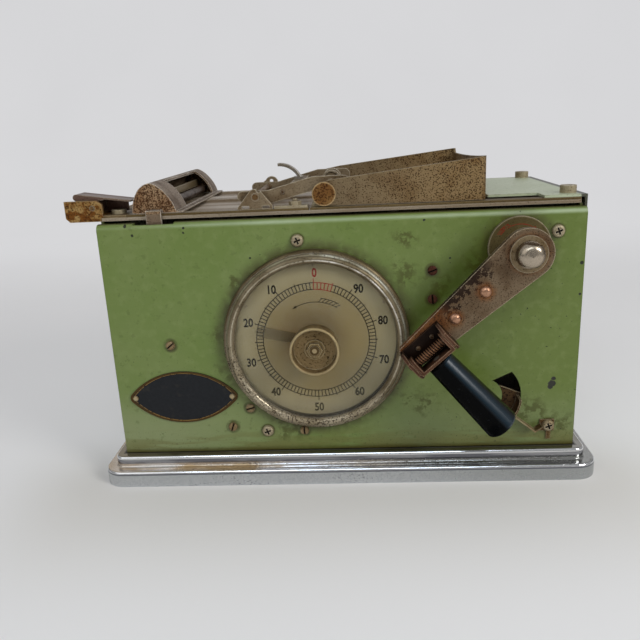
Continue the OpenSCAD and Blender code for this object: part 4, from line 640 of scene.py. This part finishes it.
shaft_tip = 0.0012
shaft_bright, shader, place = start_finish("shaft_bright")
on_tip = rise(gap_to(flat_to_front(place), dial_centre), shaft_tip + 0.0005, shaft_tip)
age(shader, place, blend(on_tip, tone(84, 67, 42), tone(164, 146, 112)),
    blend(on_tip, tone(64, 50, 30), tone(128, 108, 76)), tone(50, 38, 22), specks=0.2, stain=0.3, grain=1400,
    rub=0.2)
dress(shaft_bright, "counter_shaft")

print_level = -0.0763
ladder_outer, ladder_inner = 0.0383, 0.0340
line_width = 0.00058
five_tick, ten_tick = 0.0012, 0.0026
count_turn = math.radians(3.6)
numeral_height = 0.0054
figure_share = 0.7
numeral_weight = 0.00026
numeral_narrow = 0.80
glare_high, glare_low = 0.085, 0.050
numeral_places = {0: (44.4, -1), 10: (43.6, 38), 20: (44.8, 73), 30: (45.0, 108), 40: (44.5, 141),
                  50: (46.0, 180), 60: (44.7, 217), 70: (45.4, 252), 80: (44.6, 286), 90: (43.5, 320)}


def ink(name, colour, worn):
    """Printing ink, a little worn and uneven, and paler lower on the dial under painted glare."""
    finish, shader, place = start_finish(name)
    uneven = clouds(place, 700, 3)
    # Painted glare: the ink is paler lower on the dial.
    glare_fade = rise(axis(place, "Z"), glare_high, glare_low)
    fill(shader, {"Base Color": blend(rise(uneven, 0.4, 0.7), colour, worn), "Roughness": 0.5 + 0.2 * uneven,
                  "Specular IOR Level": 0.15, "Alpha": 0.96 - 0.38 * glare_fade})
    return finish


black_ink = ink("black_ink", tone(26, 20, 8), tone(58, 48, 28))
red_ink = ink("red_ink", tone(132, 28, 20), tone(140, 60, 42))
flange_red = ink("flange_red", tone(134, 50, 34), tone(106, 78, 50))


def on_front_face(centre, level, turn=0.0, radius=0.0):
    """Frame at a turn anticlockwise from the top: x along the rim, y outwards, z to the viewer."""
    face = Matrix.Translation((centre[0], level, centre[2])) @ to_viewer
    return face @ Matrix.Rotation(turn, 4, "Z") @ Matrix.Translation((0, radius, 0))


def on_dial(turn=0.0, radius=0.0):
    return on_front_face(dial_centre, print_level, turn, radius)


def bar(shape, frame_at, width, length):
    """A flat printed bar, centred in its frame."""
    bmesh.ops.create_grid(shape, x_segments=1, y_segments=1, size=0.5,
                          matrix=frame_at @ Matrix.Diagonal((width, length, 1, 1)))


def arc_line(shape, frame_at, radius, width, turn_start, turn_end, steps):
    """A flat printed line along an arc, anticlockwise from the y axis of its frame."""
    turned = frame_at @ Matrix.Rotation(turn_start, 4, "Z")
    ends = [shape.verts.new(turned @ Vector((0, radius + side * width / 2, 0))) for side in (-1, 1)]
    edge = shape.edges.new(ends)
    bmesh.ops.spin(shape, geom=[edge, *ends], cent=frame_at.translation, axis=frame_at.col[2].to_3d(),
                   angle=turn_end - turn_start, steps=steps)


def arrow_head(shape, frame_at, length, width):
    """A flat printed triangle that points along the x axis of its frame, or back if length is negative."""
    bmesh.ops.create_circle(shape, cap_ends=True, segments=3, radius=1.0,
                            matrix=frame_at @ Matrix.Diagonal((length / 1.5, width / 1.732, 1, 1))
                            @ Matrix.Rotation(-math.pi / 2, 4, "Z"))


def feathered_arrow(shape, frame_of, radius, turns, line, feather_high, strokes):
    """A curved arrow: line, head, and a feather of slanted strokes between two lines outside the arc."""
    tail_turn, feather_turn, head_turn = turns
    arc_line(shape, frame_of(), radius, line, min(tail_turn, head_turn), max(tail_turn, head_turn), 14)
    arc_line(shape, frame_of(), radius + feather_high, line, min(tail_turn, feather_turn),
             max(tail_turn, feather_turn), 8)
    lean = math.radians(-40) if head_turn > tail_turn else math.radians(40)
    for stroke in range(strokes):
        turn = tail_turn + (feather_turn - tail_turn) * stroke / (strokes - 1)
        middle = frame_of(turn, radius + feather_high / 2) @ Matrix.Rotation(lean, 4, "Z")
        bar(shape, middle, line, feather_high / math.cos(lean))
    head_length = math.copysign(6.5 * line, tail_turn - head_turn)
    arrow_head(shape, frame_of(head_turn, radius), head_length, 4.5 * line)


for name, finish, first, last in (("ladder_black", black_ink, 0, 95), ("ladder_red", red_ink, 95, 100)):
    ladder = bmesh.new()
    for radius in (ladder_outer, ladder_inner):
        arc_line(ladder, on_dial(), radius, line_width, first * count_turn, last * count_turn, last - first)
    for count in range(first + 1, last) if finish is black_ink else range(first, last + 1):
        tick = ten_tick if count % 10 == 0 else five_tick if count % 5 == 0 else 0.0
        middle = (ladder_inner + ladder_outer + tick) / 2
        bar(ladder, on_dial(count * count_turn, middle), line_width, ladder_outer - ladder_inner + tick)
    add_piece(name, ladder, finish, "case")

for count, (out_mm, degrees) in numeral_places.items():
    words = bpy.data.curves.new(f"count_{count}", "FONT")
    words.body = str(count)
    words.align_x, words.align_y = "CENTER", "CENTER"
    words.size = numeral_height / figure_share
    words.offset = numeral_weight
    words.resolution_u = 3
    flat = bpy.data.objects.new(f"count_{count}", words)
    shape = bmesh.new()
    shape.from_mesh(flat.to_mesh())
    flat.to_mesh_clear()
    bpy.data.objects.remove(flat)
    turn = math.radians(degrees)
    upright = on_dial(turn, out_mm / 1000) @ Matrix.Rotation(-turn, 4, "Z")
    upright = upright @ Matrix.Diagonal((numeral_narrow, 1, 1, 1))
    bmesh.ops.transform(shape, matrix=upright, verts=shape.verts)
    add_piece(f"numeral_{count}", shape, red_ink if count == 0 else black_ink, "case")

dial_arrow_radius, dial_arrow_line, dial_feather = 0.0258, 0.00046, 0.0026
dial_arrow_turns = [math.radians(turn) for turn in (-33, -8, 29)]
dial_arrow = bmesh.new()
feathered_arrow(dial_arrow, on_dial, dial_arrow_radius, dial_arrow_turns, dial_arrow_line, dial_feather, 6)
add_piece("dial_arrow", dial_arrow, black_ink, "case")

pin_turns, pin_out = (-60.7, 0.0, 60.6), 0.0496
pin_radius, pin_high = 0.0008, 0.0004
pin_frames = [on_dial(math.radians(turn), pin_out) for turn in pin_turns]
dial_pins = rivet_heads(pin_frames, pin_radius, pin_high)
pin_metal = old_metal("pin_metal", tone(120, 108, 80), tone(90, 76, 50), tone(40, 30, 16), grain=1600,
                      metallic=0.5)
add_piece("dial_pins", dial_pins, pin_metal, "case")


# Crank: a flat tapered arm on the shaft of the bearing flange, held by a washer and a domed nut with
# two flats. Two copper rivets hold the handle's hinge strap, and the flange has a red arrow on it.

flange_nickel, shader, place = start_finish("flange_nickel")
rim_gap = gap_to(flat_to_front(place), crank_centre)
on_rim = rise(rim_gap, flange_radius - 0.0011, flange_radius - 0.0003)
age(shader, place, blend(on_rim, tone(108, 96, 66), tone(178, 164, 130)), tone(82, 71, 43), tone(46, 36, 20),
    specks=0.35, grain=1200, metallic=0.35, streak=(1.0, 1.0, 0.3))
dress(flange_nickel, "bearing_flange")

flange_level = -0.0776
flange_arrow_radius, flange_arrow_line, flange_feather = 0.0142, 0.0005, 0.0020
flange_arrow_turns = [math.radians(turn) for turn in (56, 27, -38)]


def on_flange(turn=0.0, radius=0.0):
    return on_front_face(crank_centre, flange_level, turn, radius)


flange_print = bmesh.new()
feathered_arrow(flange_print, on_flange, flange_arrow_radius, flange_arrow_turns, flange_arrow_line,
                flange_feather, 6)
add_piece("flange_arrow", flange_print, flange_red, "case")

rivet_places = (0.0323, 0.056)
arm_half, arm_end_half, arm_length = 0.0150, 0.0082, 0.0945
arm_taper = (arm_half - arm_end_half) / arm_length

arm_steel, shader, place = start_finish("arm_steel")
along = along_way(place, crank_centre, arm_along)
sideways = along_way(place, crank_centre, arm_side)
front = flat_to_front(place)
burnt_field = 0.65 * clouds(place, 380, 5) + 0.35 * clouds(place, 1300, 2)
from_edge = sideways - arm_taper * along + arm_half
burnt = rise(burnt_field - 22.0 * from_edge, 0.355, 0.405)
burnt = burnt * band(along, 0.014, 0.026, 0.056, 0.066)
rusty = rise(along + 0.012 * burnt_field, 0.058, 0.070) * rise(sideways, 0.009, -0.002)
for reach in rivet_places:
    rivet_spot = [c + reach * d for c, d in zip(crank_centre, arm_along)]
    rusty = rusty | rise(gap_to(front, rivet_spot) + 0.004 * burnt_field, 0.0095, 0.0050)
rusty = rusty | rise(gap_to(front, crank_centre) + 0.006 * burnt_field, 0.0175, 0.0130) * 0.6
clean = blend(burnt * 0.92, tone(114, 98, 78), tone(40, 27, 20))
brown = blend(burnt * 0.92, tone(86, 67, 48), tone(34, 23, 17))
age(shader, place, blend(rusty * 0.8, clean, tone(120, 76, 40)), blend(rusty * 0.8, brown, tone(98, 56, 28)),
    tone(48, 35, 26), specks=0.40 + 0.2 * rusty, stain=0.45, grain=1300, roughness=0.38, metallic=0.35,
    rubbed=tone(188, 172, 146), rub=0.95)
dress(arm_steel, "crank_arm")

washer_steel = old_metal("washer_steel", tone(132, 116, 90), tone(102, 82, 56), tone(52, 38, 24), specks=0.3,
                         grain=1200)
dress(washer_steel, "crank_washer")

nut_bright, shader, place = start_finish("nut_bright")
# Painted reflection and shade: the nut is bright where it faces the eye and darker where it turns away.
painted_grazing_shade = rise(place.make("ShaderNodeLayerWeight", None, {"Blend": 0.5}, "Facing"), 0.22, 0.62)
cloud = clouds(place, 220, 3)
colour = blend(painted_grazing_shade | 0.25 * cloud, tone(174, 161, 142), tone(98, 82, 62))
# Dirt and painted shade in its hollows.
colour = blend(hollows(place, 0.004), colour, tone(84, 58, 34))
fill(shader, {"Base Color": colour, "Metallic": 0.8, "Roughness": 0.20 + 0.12 * cloud}, cloud, 0.00002)
dress(nut_bright, "crank_nut")

rivet_copper = old_metal("rivet_copper", tone(176, 134, 107), tone(136, 96, 71), tone(66, 44, 30), specks=0.2,
                         stain=0.3, grain=1200, roughness=0.28, metallic=0.7, rub=0.2)
dress(rivet_copper, "arm_rivets")


# Handle: a hinge bracket and yoke of brown steel sheet, painted darker further in as painted shade,
# a coil spring round the hinge pin, and a black moulded grip that turns on its spindle and is polished
# on its upper side, with a painted bluish sheen along the polish.

lip_level, floor_level = -0.1095, -0.1030
hinge_brown, shader, place = start_finish("hinge_brown")
# Painted shade: the bracket is darker deeper in, and its hollows are darkened over a long reach with dirt and
# painted shade.
painted_depth_shade = rise(axis(place, "Y"), lip_level, floor_level)
age(shader, place, blend(painted_depth_shade, tone(88, 62, 46), tone(38, 26, 18)),
    blend(painted_depth_shade, tone(66, 40, 27), tone(30, 19, 12)), tone(22, 14, 9), specks=0.4, stain=0.55, grain=1200,
    metallic=0.25, rubbed=blend(painted_depth_shade, tone(176, 144, 116), tone(84, 62, 46)), rub=0.8, hollow_reach=0.008,
    open_share=0.95, shut_share=0.5)
dress(hinge_brown, "hinge_bracket", "hinge_pin", "handle_yoke")

bracket_floor = 0.0252
strap_reaches, strap_side = (0.0730, 0.0838), -0.0016
strap_rivet_radius, strap_rivet_high = 0.0016, 0.0012
arm_frame = on_front_face(crank_centre, panel_face) @ Matrix.Rotation(math.pi + arm_lean, 4, "Z")
strap_frames = [arm_frame @ Matrix.Translation((reach, strap_side, bracket_floor)) for reach in strap_reaches]
strap_rivets = rivet_heads(strap_frames, strap_rivet_radius, strap_rivet_high)
add_piece("strap_rivets", strap_rivets, rivet_steel, "crank")

hinge_place = (0.07925, 0.0028, 0.031)
spring_turns, spring_steps = 12, 20
spring_radius, wire_radius = 0.0023, 0.0004
spring_length = 0.02006

coil = bmesh.new()
pin_frame = arm_frame @ Matrix.Translation(hinge_place) @ Matrix.Rotation(math.pi / 2, 4, "Y")
pin_axis = pin_frame.col[2].to_3d()
section = pin_frame @ Matrix.Translation((spring_radius, 0, wire_radius - spring_length / 2))
bmesh.ops.create_circle(coil, cap_ends=True, segments=8, radius=wire_radius,
                        matrix=section @ Matrix.Rotation(math.pi / 2, 4, "X"))
wire_rise = (spring_length - 2 * wire_radius) / (spring_turns * spring_steps)
bmesh.ops.spin(coil, geom=list(coil.faces) + list(coil.edges) + list(coil.verts), cent=pin_frame.translation,
               axis=pin_axis, angle=2 * math.pi * spring_turns, steps=spring_turns * spring_steps,
               dvec=pin_axis * wire_rise)
bmesh.ops.recalc_face_normals(coil, faces=coil.faces)
smooth(coil)
spring_rust = old_metal("spring_rust", tone(124, 84, 56), tone(92, 56, 34), tone(44, 27, 17), specks=0.4,
                        grain=1100, metallic=0.4, rub=0.2)
spring = add_piece("hinge_coil", coil, spring_rust, "handle")
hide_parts("hinge_spring")

grip_upper_side = (0.75, 0, 0.66)
grip_black, shader, place = start_finish("grip_black")
grain = clouds(place, 420, 3)
scuff = rise(clouds(place, 60, 5), 0.52, 0.7)
nicks = rise(clouds(place, 900, 2), 0.66, 0.72)
colour = blend(scuff, tone(4, 5, 6), tone(9, 11, 13))
colour = blend(nicks * 0.4, colour, tone(44, 48, 52))
normal = place.make("ShaderNodeTexCoord", output="Normal")
turned_up = along_way(normal, (0, 0, 0), grip_upper_side)
polish_and_sheen = rise(turned_up, 0.10, 0.45)
# Painted sheen: a bluish band along the polished upper side; the polish also makes it glossier.
colour = blend(polish_and_sheen * rise(turned_up, 0.95, 0.65), colour, tone(22, 38, 47))
fill(shader, {"Base Color": colour, "Roughness": 0.5 + 0.1 * scuff, "Specular IOR Level": 0.0,
              "Coat Weight": 0.14 + 0.80 * polish_and_sheen - 0.1 * scuff, "Coat Roughness": 0.25},
     grain - nicks, 0.00004)
dress(grip_black, "grip")


# Lever and catch: a sector behind the panel whose leaf stands out through the curved slot, and a thin
# bent strip held under the lower right screw.

lever_nickel = old_metal("lever_nickel", tone(82, 63, 42), tone(54, 37, 22), tone(30, 19, 12), specks=0.7,
                         stain=0.6, grain=700, metallic=0.35, rubbed=tone(186, 170, 136), rub=0.8)
dress(lever_nickel, "quadrant_lever")

catch_foot = 0.1235
catch_steel, shader, place = start_finish("catch_steel")
at_foot = rise(axis(place, "X"), catch_foot, catch_foot + 0.002)
age(shader, place, blend(at_foot, tone(150, 136, 104), tone(104, 84, 56)),
    blend(at_foot, tone(108, 84, 52), tone(78, 56, 32)), tone(46, 32, 18), specks=0.4, grain=900,
    metallic=0.35, rubbed=tone(182, 166, 132), rub=0.6)
dress(catch_steel, "catch_strip")


# Screws: pan heads with cross slots, dull and tan, that hold the panels, and slotted steel screws that
# have gone brown. The slots are painted dark with dirt and painted shade.

slot_dirt_and_shade = tone(20, 14, 9)
pan_nickel, shader, place = start_finish("pan_nickel")
# Dirt and painted shade in the slots.
deep = hollows(place, 0.0022, 0.90, 0.55)
age(shader, place, blend(deep, tone(160, 148, 122), slot_dirt_and_shade), blend(deep, tone(130, 112, 82), slot_dirt_and_shade),
    blend(deep, tone(66, 52, 34), slot_dirt_and_shade), specks=0.3, stain=0.35, grain=1300, metallic=0.4)
dress(pan_nickel, "panel_screws")

slot_floor, head_edge = -0.0758, 0.0027
screw_brown, shader, place = start_finish("screw_brown")
front = flat_to_front(place)
by_crank = rise(axis(place, "X"), 0.0, 0.03)
heads = blots(front, [(x, z, head_edge) for x, z in screw_spots[4:]], 0.0 * by_crank, 0.04)
# Dirt and painted shade deep in the slots.
deep = heads * rise(axis(place, "Y"), slot_floor - 0.0006, slot_floor - 0.0003)
clean = blend(by_crank, tone(166, 148, 114), tone(94, 62, 48))
brown = blend(by_crank, tone(118, 96, 66), tone(68, 38, 28))
# The edges of the heads are darker.
age(shader, place, blend(deep, clean, slot_dirt_and_shade), blend(deep, brown, slot_dirt_and_shade), slot_dirt_and_shade, specks=0.35,
    grain=1500, metallic=0.3, rubbed=tone(44, 31, 20), rub=0.85)
dress(screw_brown, "slotted_screws")


# Nameplate: an etched brass oval filled with black enamel, its rim and inner line left bare and held
# by two brass pins. The field inside is plain.

nameplate_low, nameplate_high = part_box("nameplate")
plate_length, plate_height = (nameplate_high[k] - nameplate_low[k] for k in (0, 2))
plate_centre = [(low + high) / 2 for low, high in zip(nameplate_low, nameplate_high)]
side_radius = (plate_length ** 2 + plate_height ** 2) / (4 * plate_height)
line_in, line_half = 0.0013, 0.00024
rim_step = 0.00020

name_enamel, shader, place = start_finish("name_enamel")
front = flat_to_front(place)
rim_gap = 0.0 * axis(place, "X")
for side in (-1, 1):
    arc_middle = (plate_centre[0], 0, plate_centre[2] + side * (side_radius - plate_height / 2))
    rim_gap = rim_gap | gap_to(front, arc_middle)
rim = rise(axis(place, "Y"), nameplate_low[1] + rim_step, nameplate_low[1] + rim_step / 2)
line = rise(abs(rim_gap - (side_radius - line_in)), line_half, 0.6 * line_half)
grain = clouds(place, 500, 4)
worn = rise(clouds(place, 160, 4), 0.58, 0.72)
colour = blend(grain, tone(18, 20, 23), tone(36, 38, 41))
colour = blend(worn * 0.3, colour, tone(62, 58, 50))
colour = blend(rim, colour, blend(grain, tone(96, 74, 44), tone(58, 44, 26)))
colour = blend(line * rise(grain, 0.36, 0.52), colour, tone(148, 116, 66))
fill(shader, {"Base Color": colour, "Metallic": 0.6 * (rim | line), "Specular IOR Level": 0.25,
              "Roughness": 0.32 + 0.2 * grain + 0.15 * worn}, grain, 0.00004)
dress(name_enamel, "nameplate")

plate_pin = old_metal("plate_pin", tone(182, 166, 132), tone(132, 108, 70), tone(64, 48, 28), specks=0.35,
                      stain=0.4, grain=1500, metallic=0.5, rubbed=tone(70, 52, 32))
dress(plate_pin, "nameplate_pins")


# Studio: a pale floor that sweeps up behind the machine, with a painted shadow in front of it, a soft
# lamp above right, a fill lamp on the left, a long lamp in front, and a camera set as for the photograph.

floor_half, floor_front, floor_back, sweep_radius, wall_top = 2.2, -1.6, 0.9, 0.6, 2.2
base_front, shade_end = 0.089, 0.25
shade_full, shade_side = 0.16, 0.27
wall_start, wall_full = 0.15, 0.95
floor_glow = 0.4


def draw_out(shape, edge, way):
    """Draws a face out of an edge and gives its far edge."""
    grown = bmesh.ops.extrude_edge_only(shape, edges=[edge])["geom"]
    far_ends = [part for part in grown if isinstance(part, bmesh.types.BMVert)]
    bmesh.ops.translate(shape, vec=way, verts=far_ends)
    return [part for part in grown if isinstance(part, bmesh.types.BMEdge)][0]


sweep = bmesh.new()
ends = [sweep.verts.new((side * floor_half, floor_front, 0)) for side in (-1, 1)]
edge = draw_out(sweep, sweep.edges.new(ends), (0, floor_back - floor_front, 0))
bent = bmesh.ops.spin(sweep, geom=[edge, *edge.verts], cent=(0, floor_back, sweep_radius), axis=(1, 0, 0),
                      angle=math.pi / 2, steps=24)["geom_last"]
edge = [part for part in bent if isinstance(part, bmesh.types.BMEdge)][0]
draw_out(sweep, edge, (0, 0, wall_top))
smooth(sweep)
floor_paper, shader, place = start_finish("floor_paper")
fibres = clouds(place, 3, 3)
ahead = 0.0 - axis(place, "Y")
# Painted shadow: the floor is darker, and glows less, just in front of the base.
painted_floor_shadow = band(ahead, 0.0, base_front, base_front, shade_end)
painted_floor_shadow = painted_floor_shadow * rise(abs(axis(place, "X")), shade_side, shade_full)
paper = blend(fibres, tone(242, 240, 238), tone(246, 244, 242))
fill(shader, {"Base Color": blend(painted_floor_shadow * 0.5, paper, tone(200, 193, 182)), "Roughness": 0.7,
              "Specular IOR Level": 0.2})
seen = place.make("ShaderNodeLightPath", output="Is Camera Ray")
for ray in ("Is Glossy Ray", "Is Transmission Ray"):
    seen = seen | place.make("ShaderNodeLightPath", output=ray)
wall = rise(axis(place, "Y"), wall_start, wall_full)
glow_share = seen * (floor_glow - floor_glow * painted_floor_shadow + (1 - floor_glow) * wall)
glow_colour = blend(fibres, tone(210, 210, 212), tone(216, 216, 218))
glow = place.make("ShaderNodeEmission", None, {"Color": glow_colour})
lit = Wire(place.tree, shader.outputs[0])
surface = place.make("ShaderNodeMixShader", None, {0: glow_share, 1: lit, 2: glow})
place.tree.links.new(surface.socket, place.tree.nodes["Material Output"].inputs["Surface"])
floor = make_object("floor_sweep", sweep, floor_paper)

room_light = 0.48
world = bpy.data.worlds.new("studio")
world.use_nodes = True
sky = world.node_tree.nodes["Background"]
looking = Wire(world.node_tree).make("ShaderNodeTexCoord", output="Generated")
above = rise(axis(looking, "Z"), -0.05, 0.55)
room = blend(above, tone(96, 96, 96), tone(232, 233, 235))
seen = looking.make("ShaderNodeLightPath", output="Is Camera Ray")
room = blend(seen, room, tone(213, 213, 215))
world.node_tree.links.new(room.socket, sky.inputs["Color"])
world.node_tree.links.new((room_light + (1 - room_light) * seen).socket, sky.inputs["Strength"])
scene = bpy.context.scene
scene.world = world

lamp_aim = Vector((0, 0, 0.1))
white, cold_white = (1, 1, 1), tone(226, 240, 255)[:3]
for name, spot, size, power, hue in (("key_lamp", (1.05, -0.85, 0.80), (0.5, 0.5), 9.5, white),
                                     ("fill_lamp", (-0.95, -1.1, 0.9), (1.3, 1.3), 3.8, white),
                                     ("strip_lamp", (-0.05, -1.0, 1.0), (0.8, 0.34), 3.6, cold_white)):
    lamp = bpy.data.lights.new(name, "AREA")
    lamp.shape = "RECTANGLE"
    lamp.size, lamp.size_y = size
    lamp.energy = power
    lamp.color = hue
    holder = bpy.data.objects.new(name, lamp)
    aiming = (lamp_aim - Vector(spot)).to_track_quat("-Z", "Y").to_matrix().to_4x4()
    holder.matrix_world = Matrix.Translation(spot) @ aiming
    scene.collection.objects.link(holder)

lens_at = Vector((0.010729, -0.481135, 0.228535))
pitch, yaw, roll = 0.285454, -0.058849, -0.047233
forward = Vector((math.sin(yaw) * math.cos(pitch), math.cos(yaw) * math.cos(pitch), -math.sin(pitch)))
level_right = Vector((math.cos(yaw), -math.sin(yaw), 0))
level_up = level_right.cross(forward)
right = math.cos(roll) * level_right + math.sin(roll) * level_up
up = math.cos(roll) * level_up - math.sin(roll) * level_right
eye = bpy.data.cameras.new("photo_camera")
eye.sensor_fit = "HORIZONTAL"
eye.sensor_width = 36.0
eye.lens = 37.447
camera = bpy.data.objects.new("photo_camera", eye)
camera.matrix_world = Matrix.Translation(lens_at) @ Matrix((right, up, -forward)).transposed().to_4x4()
scene.collection.objects.link(camera)
scene.camera = camera
scene.view_settings.view_transform = "Standard"
